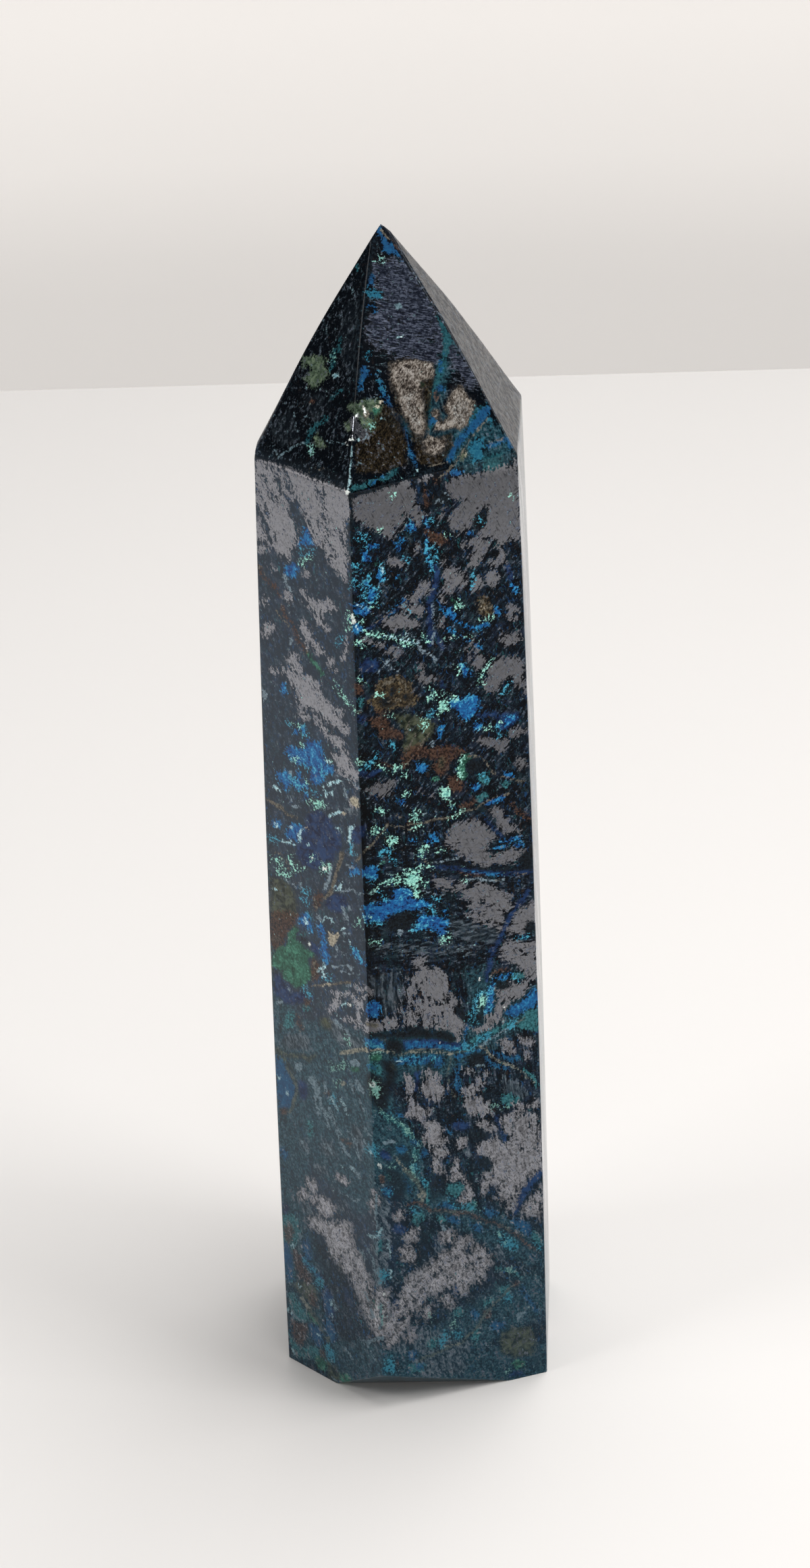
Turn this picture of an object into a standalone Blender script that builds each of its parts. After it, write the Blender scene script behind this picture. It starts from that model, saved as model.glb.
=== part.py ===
"""A hand-cut, polished point of azurite and chrysocolla in dark matrix.

One solid: an irregular six-sided column that leans in a little towards the top,
with slightly bellied faces, a six-faceted point, and a flat foot whose front
corner is cut back so that it clears the surface it stands on.

The axis is +Z, the foot rests on z = 0 and the face pair with the long shared
edge looks towards -Y. Lengths below are in millimetres, angles in degrees.
"""

import math

import bmesh
import bpy
from mathutils import Vector

MM = 0.001

# Whole height, and the height where the column's faces give way to the point.
HEIGHT = 95.0
SHOULDER = 79.5

# The six faces of the column: the direction each one faces, its distance from
# the axis at the foot, and how far it leans in for each millimetre of height.
COLUMN_FACES = (
    (-192.2, 9.37, 0.008),
    (-133.1, 10.32, 0.003),
    (-71.8, 10.05, 0.009),
    (-3.6, 10.70, 0.019),
    (56.5, 10.38, 0.005),
    (112.0, 10.30, 0.010),
)

# The six facets of the point: the direction each one faces, how far it looks
# up, and its distance from the centre of the foot. The front facet takes the
# tip, and its neighbours stop a little short of it.
POINT_FACETS = (
    (-197.4, 27.65, 44.43),
    (-132.6, 30.08, 48.46),
    (-74.9, 30.85, 48.86),
    (-2.2, 31.28, 49.29),
    (56.4, 33.76, 52.45),
    (112.0, 32.00, 50.47),
)

# The front corner of the foot is cut back by one plane. It runs through two
# points on the foot's outline and one on the front edge.
FOOT_CUT = ((-6.75, -7.92, 0.0), (7.40, -8.20, 0.0), (-2.85, -11.50, 3.4))

# The faces are bellied, because they were ground by hand: the column is this
# much wider at the height of its belly, and true again a half-length above and
# below. The point swells by its own amount, mostly near its tip's half.
BELLY = 0.0248
BELLY_HEIGHT = 36.1
BELLY_HALF_LENGTH = 42.75
POINT_SWELL = 0.080
POINT_SWELL_POWER = 1.9

# Every edge but the foot's outline is just broken by the polish.
EDGE_BREAK = 0.12
EDGE_SEGMENTS = 2

# Above this height the broken edges are drawn up to a nearly sharp tip.
TIP_START = 92.6

# Spacing of the rings and of the upright cuts that carry the curved faces.
RING_STEP = 3.6
POINT_RING_STEP = 1.4
CROWN = 0.10
CROWN_CUTS = 3


def facing(azimuth, elevation):
    a, e = math.radians(azimuth), math.radians(elevation)
    return Vector((math.cos(e) * math.cos(a), math.cos(e) * math.sin(a), math.sin(e)))


def keep_inside(bm, point, normal):
    """Cut the solid by a plane, drop what is outside it, and close the cut."""
    geometry = bm.verts[:] + bm.edges[:] + bm.faces[:]
    cut = bmesh.ops.bisect_plane(
        bm,
        geom=geometry,
        dist=1e-6,
        plane_co=point,
        plane_no=normal,
        clear_outer=True,
    )
    rim = [e for e in cut["geom_cut"] if isinstance(e, bmesh.types.BMEdge)]
    if rim:
        bmesh.ops.contextual_create(bm, geom=rim)


def score(bm, point, normal):
    """Lay a line of new edges round the solid where a plane crosses it."""
    geometry = bm.verts[:] + bm.edges[:] + bm.faces[:]
    bmesh.ops.bisect_plane(
        bm, geom=geometry, dist=1e-5, plane_co=point, plane_no=normal
    )


def column_planes():
    for azimuth, distance, lean in COLUMN_FACES:
        normal = Vector(
            (math.cos(math.radians(azimuth)), math.sin(math.radians(azimuth)), lean)
        )
        point = Vector((normal.x, normal.y, 0.0)) * distance
        yield point, normal.normalized()


def swollen(co):
    """The bellied place of a point of the flat-faced solid."""
    x, y, z = co
    out = 1.0 + BELLY * (1.0 - ((z - BELLY_HEIGHT) / BELLY_HALF_LENGTH) ** 2)
    t = (z - SHOULDER) / (HEIGHT - SHOULDER)
    if t > 0.0:
        u = min(t, 1.0) ** POINT_SWELL_POWER
        out *= 1.0 + POINT_SWELL * 4.0 * u * (1.0 - u)
    return Vector((x * out, y * out, z))


def crowned(co, planes):
    """A column face stands out by CROWN along its middle and not at its edges."""
    if not 0.0 < co.z < SHOULDER:
        return co
    depths = sorted((normal.dot(point) - normal.dot(co), i) for i, (point, normal) in enumerate(planes))
    nearest, face = depths[0]
    if nearest > 0.02:
        return co
    reach = min(depths[1][0] / 3.5, 1.0)
    fade = min(co.z / 3.0, (SHOULDER - co.z) / 3.0, 1.0)
    bulge = CROWN * (1.0 - (1.0 - reach) ** 2) * fade
    return co + planes[face][1] * bulge


def point_of_stone():
    bm = bmesh.new()
    bmesh.ops.create_cube(bm, size=1.0)
    for vert in bm.verts:
        vert.co = Vector((vert.co.x * 40.0, vert.co.y * 40.0, (vert.co.z + 0.5) * 130.0))

    planes = list(column_planes())
    for point, normal in planes:
        keep_inside(bm, point, normal)
    for azimuth, elevation, distance in POINT_FACETS:
        normal = facing(azimuth, elevation)
        keep_inside(bm, normal * distance, normal)
    a, b, c = (Vector(p) for p in FOOT_CUT)
    normal = (b - a).cross(c - a).normalized()
    if normal.z > 0.0:
        normal.negate()
    keep_inside(bm, a, normal)

    ground = [e for e in bm.edges if all(v.co.z < 1e-4 for v in e.verts)]
    sharp = [e for e in bm.edges if e not in ground]
    bmesh.ops.bevel(
        bm,
        geom=sharp,
        offset=EDGE_BREAK,
        offset_type="OFFSET",
        segments=EDGE_SEGMENTS,
        profile=0.5,
        affect="EDGES",
        clamp_overlap=True,
    )

    # Upright cuts through the middle of each column face carry its crown.
    for i, (azimuth, distance, lean) in enumerate(COLUMN_FACES):
        along = Vector((-math.sin(math.radians(azimuth)), math.cos(math.radians(azimuth)), 0.0))
        face_normal = planes[i][1]
        for step in range(CROWN_CUTS):
            offset = (step - (CROWN_CUTS - 1) / 2.0) * 3.2
            centre = Vector((face_normal.x, face_normal.y, 0.0)) * distance + along * offset
            faces = [
                f for f in bm.faces
                if f.normal.dot(face_normal) > 0.9995 and f.calc_area() > 2.0
            ]
            edges = {e for f in faces for e in f.edges}
            verts = {v for f in faces for v in f.verts}
            bmesh.ops.bisect_plane(
                bm,
                geom=list(verts) + list(edges) + faces,
                dist=1e-5,
                plane_co=centre,
                plane_no=along,
            )

    z = RING_STEP
    while z < SHOULDER + 1.0:
        score(bm, Vector((0.0, 0.0, z)), Vector((0.0, 0.0, 1.0)))
        z += RING_STEP
    z = SHOULDER + 2.0
    while z < HEIGHT - 0.8:
        score(bm, Vector((0.0, 0.0, z)), Vector((0.0, 0.0, 1.0)))
        z += POINT_RING_STEP

    bmesh.ops.remove_doubles(bm, verts=bm.verts[:], dist=2e-4)
    for vert in bm.verts:
        vert.co = swollen(crowned(vert.co.copy(), planes))
    top = max(vert.co.z for vert in bm.verts)
    for vert in bm.verts:
        t = (vert.co.z - TIP_START) / (top - TIP_START)
        if t > 0.0:
            vert.co.z += (HEIGHT - top) * t * t

    # Stand it on z = 0 with the middle of its box over the origin.
    low = [min(v.co[k] for v in bm.verts) for k in range(3)]
    high = [max(v.co[k] for v in bm.verts) for k in range(3)]
    shift = Vector(((low[0] + high[0]) / 2.0, (low[1] + high[1]) / 2.0, low[2]))
    for vert in bm.verts:
        vert.co = (vert.co - shift) * MM
    print("stone: box centre was at", tuple(round(s, 4) for s in shift), "mm")

    bmesh.ops.triangulate(bm, faces=bm.faces[:], quad_method="BEAUTY", ngon_method="BEAUTY")
    bmesh.ops.recalc_face_normals(bm, faces=bm.faces[:])
    return bm


def stone_material():
    material = bpy.data.materials.new("azurite_chrysocolla")
    material.use_nodes = True
    shader = material.node_tree.nodes["Principled BSDF"]
    shader.inputs["Base Color"].default_value = (0.018, 0.040, 0.070, 1.0)
    shader.inputs["Roughness"].default_value = 0.16
    shader.inputs["Metallic"].default_value = 0.0
    return material


for old in list(bpy.data.objects):
    bpy.data.objects.remove(old, do_unlink=True)

stone_mesh = bpy.data.meshes.new("stone_point")
solid = point_of_stone()
solid.to_mesh(stone_mesh)
solid.free()
stone_mesh.shade_smooth()
stone_mesh.set_sharp_from_angle(angle=math.radians(14.0))
stone_mesh.materials.append(stone_material())

stone = bpy.data.objects.new("stone_point", stone_mesh)
bpy.context.scene.collection.objects.link(stone)
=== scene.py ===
import math

import bpy
import numpy as np
from mathutils import Matrix, Vector


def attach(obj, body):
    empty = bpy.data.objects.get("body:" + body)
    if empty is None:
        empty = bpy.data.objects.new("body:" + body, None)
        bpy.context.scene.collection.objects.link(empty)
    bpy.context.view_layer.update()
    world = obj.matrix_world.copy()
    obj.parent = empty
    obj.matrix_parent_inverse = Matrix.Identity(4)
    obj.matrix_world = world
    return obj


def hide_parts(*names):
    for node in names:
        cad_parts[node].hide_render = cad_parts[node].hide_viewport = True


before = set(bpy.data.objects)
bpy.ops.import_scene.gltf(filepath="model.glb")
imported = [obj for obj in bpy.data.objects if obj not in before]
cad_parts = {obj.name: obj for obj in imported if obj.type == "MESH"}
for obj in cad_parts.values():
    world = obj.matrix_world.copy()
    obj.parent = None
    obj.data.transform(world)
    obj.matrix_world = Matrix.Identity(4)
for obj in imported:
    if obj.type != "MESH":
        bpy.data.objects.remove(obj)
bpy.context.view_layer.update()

# The visual model of the stone: one dense mesh on the same planes, crown, belly
# and swell as the solid it stands for, with a material whose markings are laid
# out in the outlines and strokes below and broken up by noise in the
# shader. Lengths in the geometry are millimetres until they reach Blender.

MM = 0.001

# ------------------------------------------------------------------ camera
# The camera also carries the layout grid for the markings, 1200 wide and 2324
# high: where it stands, its pitch below the horizon, its roll, and its focal
# length in steps of that grid.
EYE = np.array((0.1817, -241.2630, 179.1662))
PITCH, ROLL, FOCAL = math.radians(28.10309), math.radians(-1.596535), 5333.5566
SHIFT = np.array((0.264, 0.0538, 0.0))  # the solid is centred by this much

forward = np.array((0.0, math.cos(PITCH), -math.sin(PITCH)))
level = np.array((1.0, 0.0, 0.0))
upward = np.cross(level, forward)
cam_right = level * math.cos(ROLL) + upward * math.sin(ROLL)
cam_up = -level * math.sin(ROLL) + upward * math.cos(ROLL)


def on_layout(points):
    """Where points (mm, before SHIFT) appear on the layout grid."""
    d = points - EYE
    depth = d @ forward
    return 600.0 + FOCAL * (d @ cam_right) / depth, 1162.0 - FOCAL * (d @ cam_up) / depth


camera_data = bpy.data.cameras.new("camera")
camera = bpy.data.objects.new("camera", camera_data)
bpy.context.scene.collection.objects.link(camera)
camera_data.sensor_width = 36.0
camera_data.lens = FOCAL / 2324.0 * 36.0
camera_data.clip_start = 0.01
camera_data.clip_end = 10.0
place = Matrix.Identity(4)
for k in range(3):
    place[k][0], place[k][1], place[k][2] = cam_right[k], cam_up[k], -forward[k]
    place[k][3] = (EYE[k] - SHIFT[k]) * MM
camera.matrix_world = place
bpy.context.scene.camera = camera

# ---------------------------------------------------------------- markings
# Each kind of marking is a field over the surface: how far inside the nearest
# outline of that kind a point is, in steps of the layout grid, and below zero
# outside.
KINDS = (
    "grey", "azure", "navy",
    "cyan", "mint", "teal",
    "green", "rust", "tan",
    "steel", "cream", "ice",
    "white", "dark", "olive",
    "veil", "across", "slant",
    "warm_lit_metal", "blue_lit_metal", "moss",
    "glint", "halo", "umber",
    "rise", "painted_face_light", "painted_shade",
)
EMPTY = -9.0
marks = []


def patch(kind, *xy):
    marks.append(("patch", kind, 0.0, np.array(xy, float).reshape(-1, 2)))


def streak(kind, width, *xy):
    marks.append(("streak", kind, width, np.array(xy, float).reshape(-1, 2)))


def carve(kind, width, *xy):
    marks.append(("carve", kind, width, np.array(xy, float).reshape(-1, 2)))


# ---- left face, top (y 665-905)
patch("grey", 377,681, 400,686, 425,694, 447,702, 470,711, 490,717, 505,724, 517,733, 517,775, 508,772, 498,765, 490,770, 480,755, 470,750, 462,753, 452,750, 444,745, 437,742, 430,745, 420,740, 414,748, 408,752, 404,760, 408,772, 412,780, 417,790, 423,800, 427,812, 428,822, 420,815, 412,803, 405,798, 398,785, 393,772, 388,760, 382,748, 377,735)
patch("grey", 379,775, 385,778, 391,790, 396,800, 393,803, 380,797)
patch("grey", 381,808, 394,808, 399,815, 395,819, 381,818)
patch("grey", 470,760, 480,762, 488,775, 497,790, 505,803, 512,815, 516,830, 508,828, 500,815, 488,812, 478,808, 468,795, 466,780)
carve("grey", 4, 396,687, 406,697, 411,709, 419,725, 429,739)
carve("grey", 3, 415,694, 422,706, 430,721, 436,732)
carve("grey", 2.4, 390,706, 398,722, 406,741, 413,748)
carve("grey", 1.8, 380,728, 386,742, 392,755)
carve("grey", 8, 381,752, 388,768, 396,785, 402,800)
carve("grey", 3, 461,708, 468,725, 476,738)
carve("grey", 2, 475,720, 480,735)
carve("grey", 2.4, 476,762, 486,780, 498,800)
carve("grey", 2.4, 490,770, 500,790, 508,808)
patch("azure", 450,781, 456,780, 458,790, 461,798, 464,806, 462,812, 456,808, 450,806, 445,812, 443,806, 446,798, 449,790)
streak("cyan", 2.4, 446,812, 447,821, 452,826, 458,822, 463,813)
streak("mint", 4, 457,827, 450,830, 446,837)
patch("azure", 428,836, 436,834, 442,840, 440,848, 436,855, 430,857, 424,854, 421,848, 424,840)
streak("steel", 3, 421,852, 426,866, 432,876)
streak("rust", 4, 383,838, 388,852, 396,862, 404,868, 409,876, 413,884)
patch("rust", 400,864, 407,866, 411,874, 405,877, 400,871)
streak("tan", 2, 382,833, 386,842)
patch("grey", 443,870, 450,872, 456,884, 462,892, 460,898, 452,892, 446,880)
patch("grey", 424,875, 430,880, 433,890, 428,894, 422,888)
patch("grey", 451,840, 456,848, 454,858, 450,850)
patch("grey", 505,845, 510,850, 513,858, 508,855)
patch("grey", 400,838, 408,845, 403,847)
patch("grey", 388,880, 395,890, 392,900, 386,894)
# ---- left face (y 895-1135)
patch("grey", 460,885, 466,890, 480,892, 486,888, 492,895, 498,905, 490,906, 480,905, 476,912, 480,922, 486,930, 488,936, 482,937, 478,930, 472,925, 468,915, 465,905, 458,900)
patch("grey", 448,920, 454,922, 457,935, 462,945, 468,950, 474,958, 478,966, 474,972, 468,966, 462,958, 455,955, 450,945, 446,935, 444,928)
patch("grey", 480,966, 488,974, 494,980, 493,988, 498,995, 496,999, 490,992, 486,982)
patch("grey", 426,975, 434,968, 440,972, 444,985, 450,1000, 446,1004, 438,995, 430,985)
patch("grey", 427,990, 440,998, 452,1003, 462,1010, 470,1022, 478,1035, 490,1045, 498,1058, 505,1068, 512,1075, 517,1083, 510,1088, 500,1080, 490,1072, 480,1064, 472,1056, 460,1050, 450,1048, 442,1040, 440,1025, 432,1012, 424,1002)
patch("grey", 448,1000, 460,1003, 470,1012, 476,1018, 468,1018, 458,1010)
patch("grey", 500,1050, 506,1052, 508,1060, 500,1062, 497,1055)
patch("grey", 465,1060, 475,1070, 484,1082, 492,1092, 500,1096, 508,1100, 514,1112, 516,1122, 508,1118, 500,1105, 488,1095, 478,1083, 468,1072)
patch("grey", 442,1050, 452,1057, 460,1065, 452,1066, 444,1058)
patch("grey", 392,925, 400,922, 408,930, 400,936, 395,944, 389,945)
patch("grey", 401,990, 412,992, 414,998, 402,998)
patch("grey", 417,988, 424,995, 420,1000)
streak("rust", 4, 418,900, 425,915, 434,925, 438,935, 440,945, 446,955, 452,965)
streak("tan", 2, 408,903, 420,920, 428,930)
streak("green", 5, 453,966, 460,975, 468,985, 474,994, 478,1000)
streak("mint", 2.5, 496,1016, 502,1025, 510,1036, 518,1048, 526,1056)
streak("tan", 2.5, 526,1056, 534,1058)
patch("azure", 416,1010, 422,1012, 422,1024, 424,1030, 419,1031, 416,1020)
patch("steel", 388,1022, 396,1026, 396,1036, 389,1038)
patch("steel", 427,946, 433,948, 432,955, 427,953)
streak("cyan", 2, 425,1070, 430,1077)
streak("mint", 3, 433,1073, 440,1078)
patch("azure", 445,1078, 449,1077, 453,1084, 454,1090, 450,1092, 446,1086)
streak("cyan", 1.6, 445,1078, 449,1077, 453,1084, 454,1090, 450,1092, 446,1086, 445,1078)
patch("azure", 433,1081, 441,1082, 440,1089, 434,1089)
patch("azure", 455,1098, 466,1100, 475,1098, 476,1108, 478,1118, 483,1125, 484,1140, 470,1137, 455,1133, 445,1125, 432,1122, 424,1115, 424,1108, 436,1107, 446,1110, 452,1108)
patch("navy", 461,1106, 468,1106, 472,1114, 468,1118, 463,1112)
patch("mint", 432,1122, 440,1123, 445,1127, 440,1128, 437,1133, 434,1128)
streak("mint", 1.5, 445,1102, 450,1107)
streak("mint", 1.5, 483,1125, 490,1129)
streak("cyan", 2, 506,944, 500,956)
streak("grey", 2.5, 514,945, 512,965, 508,978)
# ---- front face, top (y 700-960)
patch("grey", 522,741, 540,731, 560,724, 580,718, 600,711, 608,717, 604,722, 614,724, 617,731, 615,738, 616,744, 622,748, 620,755, 628,760, 633,764, 628,768, 622,772, 620,780, 616,778, 612,768, 606,762, 600,766, 601,776, 594,782, 588,772, 583,776, 580,782, 586,790, 582,797, 578,800, 572,794, 566,788, 558,786, 548,782, 541,776, 540,770, 530,772, 524,768, 521,755)
patch("grey", 622,712, 630,704, 638,706, 634,714, 626,720)
patch("grey", 660,722, 668,712, 680,708, 700,706, 720,700, 745,692, 765,683, 768,720, 769,760, 772,790, 768,800, 752,798, 748,806, 740,808, 732,800, 722,798, 712,797, 708,790, 716,784, 722,778, 722,765, 728,758, 724,750, 714,755, 706,763, 700,772, 695,783, 688,790, 678,792, 672,786, 668,778, 664,772, 668,764, 674,756, 682,750, 690,742, 686,736, 680,740, 674,742, 668,736, 664,730)
patch("grey", 648,766, 652,758, 656,752, 660,748, 663,752, 657,760, 654,768)
patch("grey", 697,800, 708,797, 720,800, 728,806, 722,815, 716,825, 708,838, 700,845, 694,838, 696,828, 702,818, 706,808, 700,806, 694,812, 686,817, 681,812, 688,806)
patch("grey", 734,806, 742,812, 747,820, 750,832, 744,838, 736,835, 728,838, 732,828, 738,822, 734,815)
patch("grey", 655,827, 660,826, 662,838, 668,846, 676,842, 674,852, 686,850, 692,858, 694,866, 688,870, 678,868, 672,876, 664,880, 658,872, 662,864, 656,858, 658,850, 660,842, 655,834)
patch("grey", 700,866, 706,852, 712,860, 714,868, 708,876, 702,880, 699,872)
patch("grey", 722,850, 728,846, 738,848, 740,858, 736,866, 728,870, 722,864, 718,856)
patch("grey", 616,878, 622,868, 630,862, 638,858, 636,870, 632,880, 622,882, 616,890, 610,895, 604,888, 608,880)
patch("grey", 593,900, 600,896, 612,898, 624,900, 630,906, 626,912, 616,912, 606,908, 598,906)
patch("grey", 565,920, 575,914, 585,910, 595,912, 605,916, 618,920, 624,926, 616,930, 602,932, 590,932, 580,934, 570,930)
patch("grey", 652,884, 658,882, 662,890, 658,894, 653,890)
patch("grey", 745,945, 752,938, 760,942, 768,936, 772,948, 762,956, 750,960, 742,954)
patch("grey", 748,912, 754,908, 760,914, 766,912, 764,920, 754,920)
patch("grey", 650,925, 655,915, 658,922, 655,932, 650,932)
patch("grey", 578,824, 590,830, 600,836, 594,842, 584,838, 577,832)
patch("grey", 610,812, 616,808, 620,816, 614,820)
patch("grey", 750,895, 760,898, 766,905, 756,904)
patch("rust", 627,786, 634,783, 642,790, 652,792, 662,798, 660,806, 650,810, 640,806, 634,798)
patch("rust", 630,742, 635,742, 637,750, 633,756, 630,750)
patch("rust", 643,710, 650,708, 652,716, 646,719)
streak("rust", 3, 628,728, 632,742)
streak("cyan", 1.8, 633,771, 638,770, 640,775, 636,779, 632,776, 633,771)
streak("azure", 4, 631,796, 632,808, 633,818, 636,830, 639,840)
streak("cyan", 2, 631,800, 634,822, 637,834)
streak("cyan", 3, 644,812, 645,822, 648,829)
streak("navy", 9, 644,838, 648,852, 645,865, 642,878, 637,892, 636,910, 637,930, 636,955)
streak("steel", 3, 641,893, 641,912, 642,935, 640,955)
patch("azure", 602,778, 606,773, 612,778, 614,782, 608,786, 602,786)
streak("cyan", 2, 606,774, 608,780)
streak("cyan", 3.5, 533,792, 545,797)
patch("azure", 545,806, 552,806, 561,810, 555,815, 547,811)
patch("azure", 538,824, 544,822, 548,826, 546,832, 540,834, 537,830)
patch("azure", 559,846, 564,842, 568,850, 570,857, 564,860, 558,855)
patch("cyan", 537,860, 542,858, 544,863, 538,864)
streak("cyan", 3.5, 534,869, 546,868, 550,871)
patch("azure", 545,880, 553,874, 558,880, 554,890, 550,898, 543,890)
streak("cyan", 2, 553,870, 558,878, 559,885)
streak("mint", 2.5, 546,897, 552,899, 559,895)
streak("azure", 3, 592,795, 596,803)
streak("azure", 4, 585,807, 593,814)
streak("cyan", 2, 597,825, 606,831)
streak("green", 3, 557,835, 563,834)
patch("azure", 586,856, 590,856, 590,861, 586,861)
patch("azure", 692,789, 698,788, 700,794, 694,796)
streak("cyan", 3, 702,850, 702,862, 698,872)
streak("azure", 5, 757,866, 764,876)
streak("navy", 6, 753,840, 758,858)
patch("azure", 659,896, 668,902, 679,912, 673,917, 662,910)
streak("mint", 4, 679,901, 683,901)
streak("green", 4, 672,890, 678,897)
streak("azure", 2.5, 655,905, 668,915, 680,922, 700,932, 712,930, 722,925)
patch("umber", 705,892, 714,884, 722,888, 726,896, 730,906, 722,916, 714,912, 708,902)
streak("mint", 2.4, 712,919, 716,919)
streak("mint", 2.4, 724,915, 729,916)
patch("azure", 732,898, 740,902, 738,910, 732,908)
patch("mint", 517,907, 522,914, 527,918, 521,920, 516,914)
streak("mint", 3, 516,921, 518,931)
streak("mint", 3, 535,922, 537,922)
patch("azure", 522,928, 532,926, 541,934, 530,941, 521,938)
streak("mint", 3, 540,935, 550,940)
streak("mint", 4, 556,940, 572,943, 584,945, 594,949, 602,953, 610,951)
streak("mint", 2, 626,942, 632,952)
streak("mint", 4, 661,947, 663,948)
streak("mint", 2.5, 673,944, 675,944)
streak("mint", 2.5, 687,945, 696,945)
patch("azure", 522,905, 545,900, 552,906, 540,912, 526,912)
streak("azure", 3, 518,898, 536,896)
streak("mint", 3, 756,734, 758,734)
streak("mint", 2.4, 661,793, 663,794)
streak("mint", 1.8, 582,728, 585,729)
streak("mint", 1.8, 579,735, 581,736)
streak("mint", 1.8, 562,784, 564,783)
patch("dark", 640,742, 655,728, 668,735, 664,750, 652,756, 642,752)
streak("steel", 2, 645,748, 650,742, 655,747)
streak("steel", 2, 656,733, 664,733, 666,741)
patch("dark", 706,765, 716,760, 724,764, 720,775, 710,784, 703,776)
streak("cyan", 2, 711,770, 715,777)
streak("tan", 3, 708,898, 714,890, 720,897)
streak("tan", 2.4, 712,908, 719,904, 726,900)
streak("cream", 2, 713,898, 716,903)
# the nearly unbroken grey of the left face under its shoulder
patch("grey", 378,690, 400,694, 428,710, 426,755, 440,800, 426,832, 402,806, 388,792)
patch("grey", 440,716, 512,746, 514,862, 500,850, 480,822, 460,790, 446,752)
carve("grey", 3, 400,688, 410,698, 420,708, 428,722, 437,738)
carve("grey", 2.4, 414,692, 426,708, 434,724)
carve("grey", 1.8, 387,705, 396,718, 406,734)
carve("grey", 4, 409,710, 418,726, 426,742, 436,760)
carve("grey", 2, 462,712, 468,726, 476,742, 486,766)
carve("grey", 2.4, 452,760, 466,790, 480,816, 492,836)
carve("grey", 2.4, 470,770, 484,800, 498,826)
carve("grey", 2.4, 381,722, 388,740, 394,764)
# bright filaments beside the front edge
streak("cyan", 3, 532,792, 537,797, 543,800)
streak("azure", 8, 540,820, 545,831)
streak("cyan", 3.4, 562,835, 567,846, 567,855)
streak("ice", 1.8, 564,838, 568,850)
streak("cyan", 3, 525,837, 532,845)
streak("cyan", 3, 522,870, 532,871, 541,876)
streak("cyan", 4, 535,885, 546,890, 560,897)
streak("ice", 2, 522,895, 530,896, 536,901)
streak("azure", 6, 542,865, 552,875)
streak("cyan", 2.4, 548,866, 555,874)
streak("white", 4, 520,914, 523,924)
streak("ice", 2.6, 526,930, 534,938)
streak("ice", 2.4, 570,942, 596,947, 620,955)
streak("ice", 2, 600,938, 607,950)
streak("steel", 1.5, 562,975, 576,986, 592,998)
streak("steel", 1.5, 585,968, 572,984, 560,1000)
streak("white", 3.4, 664,945, 666,946)
streak("azure", 4, 680,989, 690,991, 698,998)
streak("cyan", 1.8, 682,988, 692,991)
streak("mint", 4, 681,894, 684,897)
streak("cyan", 3, 634,818, 638,830, 642,846)
streak("azure", 5, 630,768, 634,782)
streak("azure", 6, 611,777, 614,781)
streak("azure", 4, 650,890, 660,902, 672,916)
streak("cyan", 2, 528,802, 540,812)
streak("cyan", 2, 536,850, 548,856)
streak("cyan", 1.8, 524,858, 530,864)
streak("ice", 1.6, 544,902, 552,910)
streak("cyan", 1.8, 600,900, 606,906)
streak("azure", 2.4, 574,914, 588,900, 600,888)
streak("navy", 4, 540,936, 570,916, 600,894, 630,872)
streak("tan", 1.4, 552,926, 580,906, 612,884)
streak("azure", 3, 660,930, 690,948, 714,960)
# ---- front face (y 930-1180)
patch("grey", 568,962, 576,958, 586,960, 593,964, 590,972, 582,976, 574,970)
patch("grey", 536,948, 552,951, 570,957, 556,959, 540,954)
patch("grey", 707,962, 712,966, 718,976, 722,984, 714,990, 708,992, 704,988, 700,985, 708,978)
patch("grey", 738,975, 750,976, 762,972, 770,972, 776,985, 778,1005, 781,1030, 770,1012, 764,1018, 762,1005, 754,1000, 748,1008, 740,1020, 730,1028, 720,1022, 716,1012, 722,1004, 722,992, 730,985)
patch("grey", 623,982, 628,990, 628,1002, 640,1004, 645,1008, 636,1014, 626,1014, 620,1008)
patch("grey", 705,1095, 720,1092, 735,1096, 745,1094, 755,1098, 748,1108, 740,1118, 732,1108, 722,1106, 712,1102)
patch("grey", 768,1122, 774,1124, 779,1134, 772,1142, 766,1134)
patch("grey", 755,1085, 765,1080, 779,1078, 782,1085, 768,1092, 757,1093)
patch("grey", 560,1165, 572,1158, 584,1156, 580,1168, 570,1178, 560,1180, 552,1175)
streak("grey", 2, 743,935, 737,950)
streak("mint", 2.2, 730,978, 722,990, 714,1003, 709,1011)
streak("mint", 2, 709,1011, 716,1013)
streak("cyan", 2.2, 755,1011, 747,1026)
streak("mint", 2.2, 636,1021, 645,1027, 652,1032)
streak("mint", 1.8, 655,1026, 664,1030)
streak("mint", 3, 675,990, 682,997)
patch("azure", 682,990, 690,988, 696,994, 692,1002, 684,998)
streak("mint", 3.6, 529,1006, 536,1008)
streak("grey", 3, 532,992, 537,995)
streak("mint", 4, 557,1030, 565,1028)
patch("navy", 532,985, 545,975, 558,978, 565,985, 556,995, 545,996, 535,998)
carve("grey", 7, 527,940, 528,965, 529,1000)
patch("dark", 524,945, 530,945, 532,1000, 526,1000)
patch("umber", 558,1015, 565,1008, 580,1005, 592,1000, 600,1008, 610,1012, 612,1025, 620,1035, 612,1045, 600,1050, 590,1048, 580,1052, 570,1048, 560,1055, 552,1045, 542,1040, 548,1033, 556,1028)
patch("dark", 563,1035, 572,1032, 581,1036, 582,1043, 575,1047, 565,1046)
patch("rust", 545,1068, 556,1064, 566,1062, 575,1070, 582,1080, 592,1085, 598,1092, 592,1098, 582,1092, 572,1095, 562,1090, 560,1080, 550,1076)
patch("rust", 556,1046, 575,1055, 585,1058, 570,1062, 557,1058)
patch("olive", 582,1060, 600,1058, 620,1062, 636,1066, 645,1075, 640,1090, 628,1100, 615,1110, 604,1125, 598,1110, 600,1090, 592,1075)
patch("rust", 600,1108, 620,1104, 640,1108, 650,1106, 664,1102, 676,1108, 690,1114, 682,1122, 668,1128, 664,1140, 652,1150, 640,1140, 648,1125, 636,1122, 620,1120, 606,1130, 600,1145, 596,1130)
patch("rust", 664,1150, 680,1152, 690,1160, 684,1172, 672,1175, 662,1165)
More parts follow.
